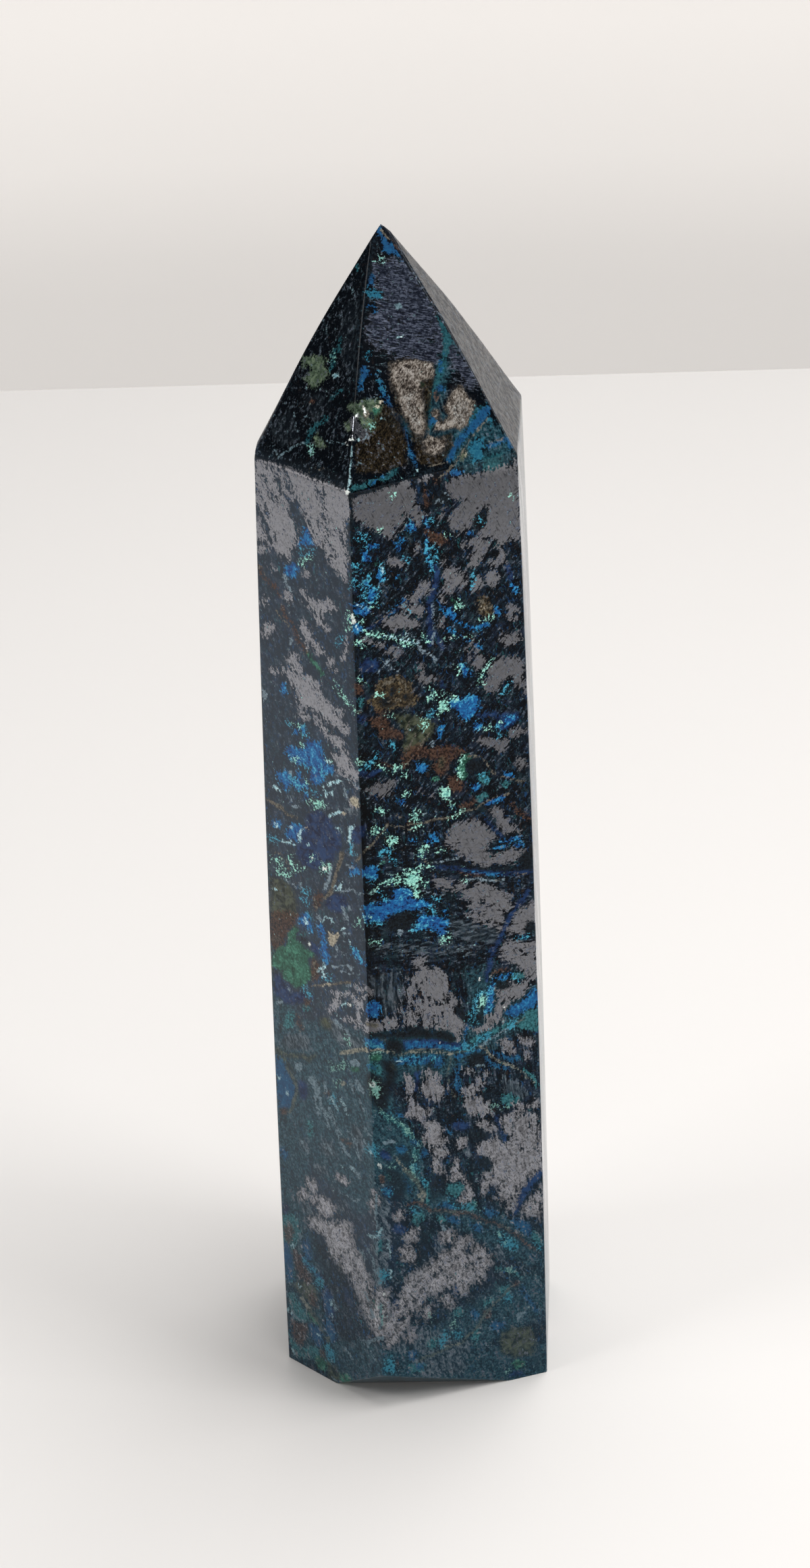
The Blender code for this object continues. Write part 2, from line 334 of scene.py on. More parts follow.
patch("rust", 524,1012, 536,1014, 538,1026, 528,1028)
streak("tan", 1.8, 615,1085, 610,1100, 602,1112)
streak("tan", 1.8, 636,1085, 622,1105, 612,1120, 604,1135)
streak("tan", 1.6, 606,1068, 600,1085)
streak("mint", 2.2, 624,1066, 628,1064, 632,1068, 632,1075, 627,1078, 622,1074, 624,1066)
patch("mint", 650,1042, 655,1038, 662,1040, 664,1050, 656,1055, 650,1060, 642,1058, 650,1050)
streak("cyan", 3.6, 634,1062, 645,1053, 655,1049, 664,1043, 672,1038, 680,1036, 692,1034)
streak("mint", 2, 670,1031, 676,1036)
streak("mint", 4, 636,1035, 641,1035)
patch("azure", 668,1038, 680,1034, 690,1030, 700,1030, 708,1032, 711,1038, 708,1044, 712,1048, 705,1055, 702,1062, 694,1066, 686,1066, 682,1058, 676,1054, 672,1048, 664,1048)
patch("navy", 735,1060, 745,1056, 755,1056, 766,1056, 771,1062, 768,1070, 760,1076, 750,1080, 745,1086, 737,1080, 733,1072)
patch("azure", 748,1062, 764,1060, 766,1068, 756,1074, 748,1076)
patch("azure", 703,1072, 712,1070, 716,1078, 708,1082, 702,1078)
streak("navy", 5, 704,1060, 720,1059, 735,1057)
streak("mint", 2.6, 715,1079, 726,1078)
streak("cyan", 3, 738,1074, 737,1092)
streak("cyan", 2.6, 733,1074, 735,1083)
streak("mint", 2.6, 739,1068, 741,1068)
streak("cyan", 2, 754,1062, 760,1063)
patch("cyan", 578,1100, 586,1100, 585,1108, 580,1107)
patch("azure", 617,1130, 626,1130, 632,1138, 626,1144, 618,1142)
streak("azure", 4.5, 654,1077, 650,1090)
streak("navy", 5, 655,1012, 658,1026)
streak("steel", 5, 640,1100, 641,1106)
streak("mint", 4, 530,1127, 535,1133)
streak("cyan", 5, 537,1136, 545,1138, 552,1128, 560,1118)
streak("navy", 7, 535,1146, 550,1148, 562,1142)
streak("mint", 4, 560,1135, 564,1133, 572,1142, 580,1143, 588,1136, 594,1136)
streak("mint", 4, 596,1147, 600,1147)
streak("rust", 4, 565,1130, 575,1134, 582,1138)
patch("navy", 528,1060, 540,1062, 541,1072, 530,1071)
patch("teal", 530,1035, 538,1032, 538,1045, 532,1048)
patch("teal", 565,1055, 575,1056, 574,1062, 566,1061)
patch("green", 650,1125, 655,1122, 660,1126, 659,1138, 655,1142, 650,1138)
streak("green", 4, 642,1156, 649,1154)
patch("green", 683,1120, 692,1118, 697,1124, 690,1130, 690,1140, 692,1150, 690,1156, 682,1154, 680,1145, 678,1138, 682,1130)
streak("mint", 2, 684,1121, 683,1135, 684,1152)
streak("tan", 2.6, 692,1121, 702,1121, 712,1124, 720,1130, 726,1138, 733,1145)
patch("dark", 694,1128, 706,1126, 716,1132, 716,1142, 700,1144, 693,1140)
streak("tan", 2.4, 726,1140, 735,1148, 748,1153, 762,1157, 778,1158)
patch("teal", 706,1148, 718,1145, 726,1152, 724,1162, 712,1158)
streak("cyan", 2, 709,1150, 716,1148, 722,1155)
patch("teal", 743,1160, 750,1158, 754,1164, 748,1168)
patch("azure", 748,1146, 758,1146, 760,1152, 750,1154)
patch("azure", 700,1163, 708,1163, 708,1171, 701,1171)
patch("mint", 655,1168, 662,1168, 668,1172, 668,1180, 658,1182, 652,1178)
streak("mint", 3, 598,1178, 610,1172)
streak("navy", 5, 640,932, 648,950, 655,960)
streak("steel", 4, 620,958, 628,968, 640,972, 645,980)
streak("steel", 2.5, 604,938, 616,948, 624,958)
streak("mint", 3.5, 528,952, 536,957, 543,962)
streak("mint", 2, 574,1059, 582,1059)
streak("grey", 2, 697,985, 693,965, 700,950)
streak("tan", 2.6, 566,1018, 574,1012, 584,1010)
streak("tan", 2.2, 590,1008, 600,1014, 604,1024)
streak("tan", 2, 574,1040, 584,1036, 594,1040)
streak("green", 3, 562,1034, 570,1044)
patch("dark", 578,1020, 584,1018, 588,1024, 584,1030, 578,1028)
patch("dark", 598,1030, 604,1028, 606,1036, 600,1038)
# ---- front face (y 1160-1410)
patch("grey", 543,1172, 555,1163, 572,1160, 578,1166, 574,1176, 566,1184, 556,1180)
patch("grey", 520,1183, 530,1185, 534,1193, 526,1196, 520,1192)
patch("grey", 663,1238, 665,1232, 673,1222, 683,1220, 693,1218, 700,1215, 705,1216, 712,1213, 717,1222, 722,1227, 728,1232, 735,1237, 732,1242, 727,1247, 722,1250, 720,1257, 722,1263, 732,1267, 742,1262, 753,1260, 765,1258, 777,1260, 773,1267, 768,1273, 762,1280, 753,1278, 742,1282, 733,1280, 727,1284, 717,1285, 710,1282, 702,1280, 698,1275, 692,1273, 688,1270, 682,1268, 678,1262, 670,1260, 665,1257, 660,1252)
carve("grey", 2, 660,1258, 678,1251)
patch("grey", 724,1202, 735,1197, 740,1200, 745,1205, 753,1215, 760,1222, 770,1228, 773,1232, 767,1235, 758,1232, 750,1235, 743,1230, 740,1223, 738,1215, 733,1210, 727,1208)
patch("grey", 640,1303, 653,1302, 662,1302, 670,1307, 677,1310, 687,1305, 688,1312, 683,1318, 675,1322, 667,1320, 657,1317, 647,1313, 642,1308)
carve("grey", 2, 671,1309, 676,1306, 680,1311, 676,1316, 671,1312)
patch("grey", 687,1320, 700,1315, 705,1310, 717,1310, 728,1313, 737,1318, 743,1320, 753,1325, 760,1327, 753,1335, 760,1343, 753,1350, 745,1353, 745,1363, 747,1368, 737,1368, 728,1367, 717,1362, 703,1360, 693,1358, 692,1354, 702,1353, 708,1348, 700,1345, 688,1340, 703,1339, 693,1333, 685,1332, 683,1327)
carve("grey", 3, 690,1337, 705,1336, 725,1340)
carve("grey", 4, 700,1352, 712,1355)
patch("grey", 780,1345, 787,1340, 790,1337, 793,1343, 793,1365, 783,1367, 778,1375, 777,1382, 767,1382, 757,1385, 750,1383, 753,1375, 758,1365, 765,1355, 770,1348)
patch("veil", 665,1364, 700,1366, 740,1376, 738,1398, 700,1396, 668,1388)
patch("dark", 787,1257, 790,1265, 788,1282, 780,1284, 770,1278, 768,1272, 776,1265)
patch("dark", 780,1366, 786,1364, 790,1370, 788,1380, 781,1382, 777,1375)
patch("mint", 615,1287, 620,1290, 623,1298, 627,1302, 622,1307, 620,1312, 623,1320, 622,1330, 617,1331, 614,1327, 614,1318, 608,1313, 600,1312, 598,1305, 602,1300, 603,1293)
patch("mint", 583,1307, 592,1302, 595,1305, 593,1310, 585,1311)
patch("mint", 627,1305, 632,1307, 630,1311, 626,1309)
streak("mint", 2.4, 543,1325, 553,1322, 563,1313, 580,1305, 593,1297, 608,1290, 620,1285, 635,1282, 640,1285)
streak("tan", 2.4, 627,1272, 637,1282)
streak("steel", 1.6, 640,1279, 662,1275, 680,1272)
streak("tan", 2.6, 580,1224, 587,1227, 598,1225, 613,1222, 627,1222, 640,1217, 653,1213, 667,1211, 677,1208, 688,1203, 700,1199, 712,1192, 723,1187, 743,1180, 753,1178)
streak("mint", 2, 667,1211, 677,1208, 688,1203)
patch("rust", 680,1196, 688,1192, 697,1187, 703,1182, 707,1187, 702,1192, 695,1196, 687,1200, 682,1199)
streak("rust", 5, 758,1192, 767,1202, 777,1208, 784,1213)
patch("mint", 611,1202, 617,1201, 623,1207, 620,1210, 613,1208)
patch("mint", 608,1212, 613,1210, 620,1213, 622,1218, 617,1217, 608,1215)
patch("rust", 603,1218, 608,1217, 612,1222, 608,1226, 604,1224)
streak("mint", 3, 613,1227, 623,1226)
streak("tan", 2, 600,1232, 612,1230, 620,1232)
patch("mint", 550,1230, 558,1226, 568,1228, 565,1233, 560,1238, 553,1237)
patch("mint", 573,1238, 577,1241, 587,1242, 588,1247, 586,1253, 582,1258, 575,1255, 574,1247)
streak("cyan", 4, 565,1267, 570,1260, 577,1260, 580,1258)
streak("cyan", 3, 578,1263, 582,1270, 585,1278)
patch("mint", 618,1260, 627,1253, 635,1252, 633,1258, 627,1260, 625,1268, 620,1269)
patch("azure", 630,1248, 633,1243, 638,1242, 637,1248, 635,1252)
patch("azure", 640,1238, 644,1235, 648,1242, 650,1247, 645,1247, 642,1243)
streak("mint", 2.5, 652,1260, 658,1260)
streak("azure", 3, 607,1245, 613,1247)
patch("azure", 733,1257, 740,1253, 752,1254, 745,1257, 738,1258)
streak("azure", 3, 742,1247, 757,1243, 770,1240)
patch("azure", 763,1248, 770,1250, 775,1253, 768,1256, 763,1253)
patch("azure", 589,1185, 597,1184, 600,1191, 592,1192)
streak("mint", 4, 665,1186, 669,1195)
streak("mint", 1.8, 558,1204, 563,1200, 572,1202, 566,1205, 558,1204)
streak("tan", 2, 587,1208, 595,1212)
streak("steel", 1.6, 598,1192, 613,1200)
streak("steel", 1.6, 623,1207, 637,1208, 647,1204)
streak("grey", 2, 623,1172, 633,1178, 643,1183)
patch("navy", 520,1222, 542,1224, 541,1240, 536,1250, 522,1250)
streak("cyan", 3, 522,1250, 521,1265)
patch("azure", 520,1283, 528,1287, 537,1293, 542,1285, 553,1283, 560,1288, 560,1303, 553,1305, 545,1305, 537,1298, 527,1298, 520,1297)
streak("cyan", 2, 545,1301, 553,1305, 560,1303)
patch("azure", 540,1343, 553,1342, 562,1343, 567,1337, 575,1333, 582,1327, 583,1320, 592,1315, 603,1317, 612,1323, 613,1330, 627,1333, 637,1337, 635,1342, 627,1345, 618,1348, 603,1350, 590,1352, 580,1355, 575,1360, 567,1367, 553,1368, 542,1367, 535,1362, 540,1355)
streak("cyan", 3, 562,1323, 575,1335)
streak("cyan", 2, 592,1332, 603,1323)
patch("dark", 575,1362, 590,1355, 605,1353, 612,1360, 610,1372, 595,1380, 575,1378, 568,1370)
streak("mint", 4, 528,1373, 535,1363, 548,1362)
streak("cyan", 3, 548,1368, 558,1367, 567,1367)
patch("azure", 620,1358, 627,1357, 637,1360, 643,1357, 653,1360, 662,1363, 663,1370, 658,1377, 662,1383, 657,1388, 650,1385, 647,1377, 637,1375, 627,1375, 615,1377, 618,1370)
streak("cyan", 3, 614,1375, 620,1371, 632,1372)
patch("azure", 656,1350, 662,1349, 664,1355, 658,1357)
streak("cyan", 4.5, 638,1348, 643,1358)
streak("cyan", 3, 641,1332, 651,1331)
patch("steel", 588,1378, 596,1378, 597,1386, 589,1387)
patch("mint", 657,1390, 665,1388, 667,1393, 662,1398, 657,1398)
streak("mint", 3, 548,1395, 562,1397)
streak("navy", 7, 783,1320, 775,1333, 767,1345, 757,1355, 752,1367, 747,1378, 742,1393)
streak("navy", 7, 640,1284, 680,1286, 720,1292, 753,1294, 788,1292)
streak("dark", 3, 640,1279, 680,1281, 720,1287, 753,1289, 788,1288)
streak("azure", 2, 690,1289, 720,1294, 740,1295)
streak("rust", 2.5, 680,1293, 717,1297)
streak("tan", 2, 758,1295, 778,1295)
streak("steel", 3, 690,1302, 727,1305, 748,1303)
streak("mint", 2.2, 687,1305, 689,1305)
streak("tan", 2, 733,1304, 740,1303)
streak("tan", 2, 660,1291, 665,1291)
streak("steel", 2.4, 627,1318, 643,1325, 660,1327)
streak("cyan", 2.5, 768,1392, 783,1388)
streak("grey", 2, 703,1364, 728,1371, 742,1377)
streak("navy", 5, 720,1213, 733,1228, 742,1240)
streak("teal", 6, 708,1183, 720,1178)
streak("azure", 5, 722,1190, 738,1186, 745,1182)
streak("tan", 2.4, 527,1277, 540,1263, 553,1250, 560,1242, 575,1222)
streak("steel", 2, 528,1165, 540,1178, 555,1193)
streak("green", 4, 566,1280, 569,1280)
# ---- front face (y 1400-1650)
patch("azure", 522,1403, 530,1407, 536,1417, 541,1423, 544,1429, 540,1433, 534,1428, 529,1420, 522,1412)
streak("cyan", 3, 524,1406, 531,1415, 538,1427)
patch("grey", 743,1410, 745,1403, 752,1397, 765,1396, 778,1398, 792,1396, 795,1412, 796,1430, 797,1453, 786,1453, 783,1446, 780,1440, 774,1436, 766,1430, 757,1426, 747,1423, 738,1421, 746,1416)
carve("grey", 5, 762,1407, 768,1409, 775,1412, 781,1415)
streak("navy", 7, 742,1393, 734,1405, 730,1417, 727,1428, 723,1443, 722,1452)
streak("rust", 3, 729,1444, 734,1438, 738,1441, 745,1437, 755,1440)
streak("azure", 5, 731,1453, 738,1449, 747,1448, 758,1444)
streak("teal", 9, 762,1448, 774,1446)
streak("cyan", 3, 766,1450, 769,1454)
patch("azure", 727,1455, 733,1453, 735,1458, 731,1466, 732,1478, 731,1490, 726,1500, 718,1503, 715,1500, 720,1494, 723,1484, 723,1472)
streak("cyan", 3, 729,1457, 727,1468, 726,1476)
streak("cyan", 3, 726,1492, 719,1499)
patch("cyan", 706,1474, 712,1470, 716,1473, 712,1480, 708,1488, 706,1495, 703,1502, 702,1510, 706,1517, 702,1519, 697,1513, 697,1503, 700,1492, 703,1482)
patch("mint", 709,1480, 714,1477, 719,1483, 720,1491, 715,1497, 709,1493, 707,1487)
patch("grey", 735,1463, 740,1468, 748,1467, 758,1457, 765,1457, 780,1455, 781,1463, 775,1470, 772,1477, 763,1480, 758,1483, 755,1488, 748,1498, 743,1503, 742,1512, 737,1518, 728,1518, 723,1525, 715,1528, 707,1528, 703,1523, 712,1523, 718,1518, 722,1512, 717,1508, 723,1505, 730,1502, 733,1495, 735,1488, 732,1485, 740,1483, 742,1478, 736,1477)
carve("grey", 4, 739,1486, 747,1487, 757,1484)
patch("azure", 747,1500, 755,1494, 765,1489, 773,1480, 785,1470, 793,1466, 796,1475, 796,1490, 788,1494, 780,1494, 772,1503, 760,1508, 750,1506)
patch("navy", 762,1490, 773,1482, 782,1486, 776,1498, 766,1500)
patch("teal", 776,1500, 790,1494, 797,1498, 798,1528, 786,1524, 772,1526, 764,1518, 770,1510)
streak("tan", 3, 763,1519, 770,1513, 775,1510)
patch("cyan", 750,1523, 756,1517, 763,1513, 764,1518, 758,1525)
patch("cyan", 709,1537, 716,1532, 722,1529, 728,1531, 723,1538, 715,1542, 710,1542)
streak("teal", 6, 700,1541, 712,1536, 728,1529, 742,1525, 755,1518)
patch("grey", 631,1437, 645,1436, 655,1438, 663,1447, 666,1455, 668,1462, 673,1468, 676,1477, 672,1482, 680,1483, 677,1490, 670,1493, 672,1500, 680,1508, 688,1515, 690,1522, 684,1527, 684,1540, 678,1543, 677,1533, 670,1525, 662,1522, 658,1533, 651,1524, 645,1530, 640,1521, 632,1528, 626,1522, 625,1510, 620,1500, 622,1490, 628,1480, 625,1470, 618,1462, 625,1455, 633,1452)
patch("grey", 612,1425, 620,1420, 632,1420, 630,1428, 635,1435, 632,1445, 633,1452, 625,1458, 615,1460, 608,1452, 603,1447, 612,1443, 625,1438, 615,1432)
patch("grey", 602,1462, 610,1461, 616,1468, 616,1478, 608,1480, 603,1473)
patch("grey", 603,1483, 612,1484, 622,1482, 626,1490, 618,1495, 608,1492)
patch("grey", 598,1503, 604,1497, 616,1497, 619,1508, 614,1522, 600,1520)
carve("grey", 2, 606,1497, 606,1522)
carve("grey", 2, 614,1478, 615,1500, 615,1523)
carve("grey", 2, 623,1500, 623,1525)
carve("grey", 2, 629,1498, 630,1528)
carve("grey", 2, 636,1504, 636,1527)
carve("grey", 2, 643,1508, 643,1530)
carve("grey", 2, 649,1512, 649,1524)
carve("grey", 1.6, 640,1489, 655,1486, 672,1480)
carve("grey", 2, 600,1489, 612,1489, 625,1487)
carve("grey", 1.8, 640,1505, 652,1506)
carve("grey", 1.6, 658,1470, 668,1476)
carve("grey", 2, 600,1478, 640,1480)
patch("dark", 675,1489, 681,1496, 690,1500, 694,1508, 694,1518, 688,1516, 680,1506, 674,1496)
patch("grey", 540,1514, 548,1511, 560,1515, 572,1510, 583,1508, 591,1516, 582,1524, 568,1523, 556,1531, 543,1533)
streak("tan", 6, 546,1518, 556,1520)
streak("grey", 3, 590,1482, 592,1500)
streak("grey", 2, 578,1500, 590,1512)
patch("dark", 600,1527, 612,1523, 640,1531, 660,1529, 676,1537, 672,1543, 640,1541, 610,1538, 585,1540, 560,1538, 545,1536, 545,1532, 570,1533, 590,1528)
patch("dark", 572,1542, 590,1540, 597,1548, 594,1560, 580,1562, 572,1554)
patch("azure", 552,1483, 558,1485, 562,1492, 562,1501, 557,1508, 549,1509, 543,1502, 542,1493, 546,1485)
patch("azure", 540,1541, 547,1538, 554,1539, 561,1542, 568,1547, 574,1552, 566,1556, 555,1554, 545,1556, 541,1550)
streak("cyan", 5, 543,1550, 549,1546, 560,1551)
patch("azure", 600,1546, 620,1545, 650,1548, 676,1551, 684,1555, 662,1555, 640,1554, 620,1553, 602,1554)
patch("navy", 596,1541, 640,1540, 690,1547, 690,1556, 640,1556, 596,1556)
patch("navy", 640,1546, 660,1546, 676,1550, 668,1555, 645,1553)
streak("tan", 2.2, 577,1556, 588,1563, 600,1562, 608,1559, 618,1557, 628,1556, 642,1557, 652,1559, 667,1562, 678,1559, 692,1557, 705,1552, 712,1552)
streak("cream", 1.6, 608,1561, 622,1560, 640,1561, 655,1563, 668,1563)
streak("cream", 2.4, 522,1556, 532,1558, 542,1560, 552,1558, 567,1556, 575,1559)
streak("mint", 4, 549,1562, 556,1560, 565,1558)
patch("azure", 579,1566, 590,1571, 600,1567, 612,1566, 625,1567, 640,1566, 655,1568, 658,1575, 651,1581, 646,1586, 640,1581, 632,1578, 625,1576, 618,1575, 605,1577, 595,1578, 586,1574)
streak("cyan", 2, 598,1570, 612,1569, 624,1571)
streak("cyan", 2, 604,1574, 618,1573)
streak("cyan", 1.8, 634,1569, 648,1571)
streak("ice", 1.6, 588,1572, 596,1573)
patch("azure", 600,1571, 618,1571, 624,1577, 612,1578, 600,1577)
patch("dark", 634,1572, 640,1569, 642,1578, 636,1584, 632,1580)
patch("cyan", 676,1554, 684,1549, 692,1544, 697,1548, 703,1548, 708,1542, 712,1545, 706,1553, 698,1556, 686,1558)
streak("azure", 5, 679,1566, 690,1562, 702,1558, 712,1556)
streak("azure", 4, 675,1566, 678,1578, 677,1592, 678,1603, 680,1618)
streak("azure", 4, 693,1519, 688,1536, 690,1546)
streak("tan", 2.2, 667,1570, 664,1583, 661,1596, 668,1608, 671,1622, 675,1632)
streak("cream", 3, 712,1552, 722,1560, 732,1568, 743,1575, 757,1580, 767,1587, 778,1593, 792,1605)
streak("azure", 4, 717,1568, 728,1577, 742,1583, 752,1582)
streak("azure", 5, 732,1560, 745,1563, 757,1571, 768,1568)
streak("teal", 5, 775,1586, 786,1596, 797,1609)
streak("steel", 2.6, 712,1552, 722,1542, 735,1533, 748,1527, 763,1518)
streak("rust", 3, 703,1549, 712,1549, 720,1553)
patch("dark", 690,1566, 700,1561, 712,1563, 718,1572, 714,1580, 702,1582, 692,1576)
streak("steel", 1.8, 702,1579, 717,1579)
patch("dark", 548,1590, 560,1598, 569,1606, 572,1590, 566,1574, 580,1572, 588,1584, 584,1604, 576,1620, 574,1640, 566,1646, 556,1640, 548,1624, 543,1604)
patch("olive", 576,1576, 586,1576, 588,1586, 580,1590, 575,1584)
patch("mint", 547,1605, 553,1602, 560,1605, 565,1613, 564,1622, 560,1628, 553,1624, 548,1615)
streak("white", 3.5, 551,1606, 555,1608)
patch("teal", 543,1578, 552,1573, 560,1578, 567,1585, 566,1593, 560,1596, 552,1590, 545,1586)
streak("azure", 4, 547,1581, 556,1584)
patch("green", 548,1565, 562,1562, 567,1570, 560,1574, 548,1571)
patch("grey", 598,1593, 605,1592, 612,1598, 614,1608, 610,1618, 603,1620, 600,1610, 600,1602, 597,1598)
patch("grey", 630,1585, 635,1582, 640,1590, 646,1590, 648,1600, 645,1608, 655,1612, 663,1612, 660,1622, 653,1628, 645,1630, 635,1628, 625,1622, 625,1612, 628,1605, 626,1595)
carve("grey", 2, 633,1594, 638,1590, 642,1593, 640,1598)
patch("grey", 688,1583, 693,1581, 698,1586, 694,1591, 690,1590)
patch("grey", 717,1587, 722,1585, 726,1590, 722,1594)
patch("grey", 708,1600, 713,1597, 718,1604, 714,1609, 709,1606)
patch("grey", 687,1617, 695,1612, 702,1610, 708,1616, 700,1622, 710,1628, 716,1632, 725,1632, 726,1645, 728,1650, 715,1655, 712,1648, 702,1650, 695,1645, 690,1638, 688,1630)
carve("grey", 3, 684,1625, 698,1624, 708,1620)
patch("grey", 740,1542, 748,1538, 752,1545, 760,1547, 755,1552, 762,1558, 757,1561, 750,1558, 745,1550)
patch("grey", 768,1535, 775,1540, 782,1537, 790,1545, 788,1552, 780,1550, 772,1545)
patch("veil", 745,1600, 757,1604, 775,1610, 782,1622, 768,1626, 748,1618)
patch("veil", 560,1540, 575,1545, 575,1538)
patch("grey", 775,1563, 780,1563, 781,1570, 776,1572)
patch("teal", 745,1622, 757,1620, 770,1628, 766,1638, 752,1640, 742,1634)
streak("mint", 3.5, 728,1640, 736,1637)
streak("mint", 3, 746,1641, 750,1640)
# Painted highlights: four small glints.
streak("white", 2.6, 711,1451, 712,1452)
streak("white", 2.6, 727,1447, 728,1448)
streak("white", 2.6, 746,1493, 747,1494)
streak("white", 2.4, 651,1547, 652,1548)
patch("dark", 735,1457, 750,1459, 757,1462, 745,1465, 736,1463)
patch("dark", 700,1505, 712,1503, 716,1510, 710,1518, 705,1512)
patch("navy", 613,1588, 622,1586, 624,1604, 618,1620, 614,1618, 616,1604)
streak("veil", 3, 540,1400, 560,1402, 640,1401, 720,1404)
streak("veil", 3, 560,1410, 650,1411, 700,1414)
patch("veil", 552,1445, 590,1440, 600,1470, 592,1500, 566,1505, 568,1480, 545,1470)
# ---- front face (y 1640-1880)
patch("grey", 602,1652, 610,1645, 612,1640, 603,1628, 612,1632, 623,1640, 637,1643, 633,1652, 628,1660, 620,1660, 610,1657, 605,1653)
patch("grey", 630,1665, 638,1662, 645,1663, 650,1668, 656,1675, 652,1683, 650,1688, 658,1687, 662,1692, 655,1697, 645,1698, 635,1697, 628,1692, 630,1685, 635,1678, 633,1670)
patch("grey", 635,1700, 645,1700, 655,1703, 665,1708, 658,1712, 652,1715, 650,1722, 655,1728, 658,1735, 652,1738, 645,1735, 643,1725, 645,1715, 638,1708)
patch("grey", 675,1690, 683,1688, 690,1690, 688,1697, 680,1700, 676,1695)
patch("veil", 688,1703, 700,1705, 700,1714, 690,1712)
patch("grey", 672,1718, 676,1722, 680,1735, 685,1742, 692,1748, 698,1757, 701,1768, 696,1778, 688,1783, 680,1780, 685,1772, 692,1768, 694,1758, 688,1750, 678,1748, 668,1750, 663,1746, 668,1742, 670,1732)
patch("grey", 707,1705, 710,1697, 720,1693, 730,1690, 733,1683, 737,1692, 743,1697, 755,1693, 760,1685, 755,1678, 745,1675, 740,1663, 747,1655, 758,1653, 762,1665, 763,1652, 767,1642, 777,1640, 780,1652, 787,1650, 797,1652, 800,1668, 802,1698, 800,1728, 797,1735, 787,1745, 778,1743, 777,1752, 767,1768, 763,1778, 757,1777, 742,1778, 738,1773, 742,1767, 740,1758, 735,1752, 725,1752, 720,1762, 716,1768, 714,1755, 720,1748, 716,1742, 728,1740, 732,1733, 730,1722, 723,1715, 710,1710)
carve("grey", 2.6, 755,1655, 760,1668, 762,1683, 765,1693, 768,1697)
carve("grey", 2.4, 783,1662, 785,1668, 788,1675)
carve("grey", 2.4, 763,1645, 768,1649, 771,1655)
carve("grey", 1.5, 768,1697, 777,1702, 798,1703)
carve("grey", 1.5, 792,1672, 799,1684)
carve("grey", 1.6, 743,1748, 747,1749, 750,1744)
carve("grey", 1.8, 740,1765, 746,1764, 752,1768, 750,1772)
carve("grey", 3, 750,1690, 754,1694)
carve("grey", 6, 778,1648, 797,1646)
patch("grey", 758,1635, 768,1634, 775,1640, 766,1644)
patch("grey", 782,1636, 797,1632, 797,1641, 784,1642)
patch("grey", 775,1795, 783,1785, 790,1775, 797,1765, 802,1760, 803,1790, 800,1806, 790,1800, 780,1797)
patch("grey", 750,1782, 758,1780, 761,1788, 757,1798, 752,1794)
streak("navy", 12, 800,1737, 788,1752, 775,1768, 768,1782, 763,1795)
streak("teal", 5, 798,1742, 792,1750)
patch("grey", 706,1668, 712,1663, 720,1663, 728,1666, 735,1674, 728,1677, 722,1672, 714,1673)
patch("dark", 700,1672, 712,1675, 726,1680, 722,1688, 704,1690, 695,1684)
patch("dark", 707,1717, 718,1714, 728,1720, 731,1732, 722,1736, 712,1732, 706,1726)
patch("navy", 670,1664, 684,1662, 697,1666, 696,1673, 682,1676, 671,1672)
streak("azure", 5, 661,1676, 666,1677)
streak("navy", 6, 737,1655, 741,1668, 746,1684, 748,1694)
streak("mint", 3, 563,1645, 573,1653, 585,1662, 597,1668, 607,1677, 615,1687, 620,1695)
streak("teal", 7, 566,1648, 580,1660, 596,1670, 610,1684)
streak("cyan", 3, 582,1642, 585,1655)
streak("azure", 5, 590,1649, 597,1655)
patch("azure", 609,1689, 615,1687, 621,1693, 618,1698, 611,1696)
patch("teal", 613,1703, 618,1701, 622,1708, 620,1719, 614,1718, 612,1710)
streak("mint", 2.4, 618,1704, 617,1712, 615,1720)
patch("azure", 623,1704, 630,1702, 633,1710, 629,1718, 623,1716)
patch("cyan", 609,1728, 615,1724, 620,1729, 619,1737, 612,1738)
streak("mint", 3, 612,1729, 616,1733)
patch("cyan", 624,1747, 630,1747, 634,1754, 630,1760, 625,1756)
streak("teal", 6, 633,1758, 634,1770, 633,1781)
patch("azure", 587,1699, 594,1696, 600,1702, 598,1709, 590,1709)
streak("steel", 6, 570,1694, 577,1692, 584,1690)
patch("navy", 562,1708, 570,1704, 580,1710, 580,1720, 568,1720)
streak("cream", 3.6, 586,1715, 592,1723, 602,1732)
patch("dark", 590,1712, 602,1710, 611,1718, 608,1726, 597,1722)
streak("tan", 7, 602,1733, 610,1743, 618,1752, 623,1762, 628,1768)
streak("mint", 2, 606,1736, 614,1745, 621,1756)
streak("cream", 4, 620,1772, 626,1768, 630,1773, 624,1780)
streak("white", 4, 563,1728, 565,1729)
streak("mint", 3, 580,1730, 582,1729)
patch("azure", 566,1760, 573,1757, 580,1760, 583,1769, 576,1774, 568,1770)
streak("cyan", 2.5, 568,1763, 579,1768)
streak("azure", 3, 601,1748, 604,1758, 606,1766)
patch("rust", 563,1743, 568,1742, 571,1752, 567,1757, 562,1750)
streak("teal", 6, 570,1742, 577,1745)
patch("dark", 570,1732, 596,1736, 604,1756, 596,1776, 582,1778, 586,1760, 574,1750)
patch("dark", 640,1742, 656,1744, 660,1752, 652,1775, 640,1778, 636,1762)
patch("teal", 664,1754, 680,1752, 690,1758, 684,1768, 672,1776, 662,1768)
streak("rust", 5, 605,1785, 617,1780, 627,1785, 637,1793, 650,1797, 663,1797, 680,1797, 690,1798, 703,1803, 720,1810, 738,1812, 747,1818, 758,1825, 768,1833, 778,1842, 790,1850, 800,1857)
streak("tan", 2, 640,1794, 654,1799, 664,1798, 676,1795)
streak("tan", 2.4, 740,1812, 749,1819, 757,1824)
patch("azure", 648,1789, 656,1784, 668,1784, 676,1789, 668,1793, 656,1793)
streak("cyan", 4, 668,1779, 673,1786, 678,1788)
streak("cyan", 4, 684,1790, 690,1787, 698,1790)
patch("teal", 686,1792, 697,1780, 703,1776, 706,1790, 700,1799, 690,1797)
streak("mint", 1.8, 706,1785, 711,1788, 716,1793)
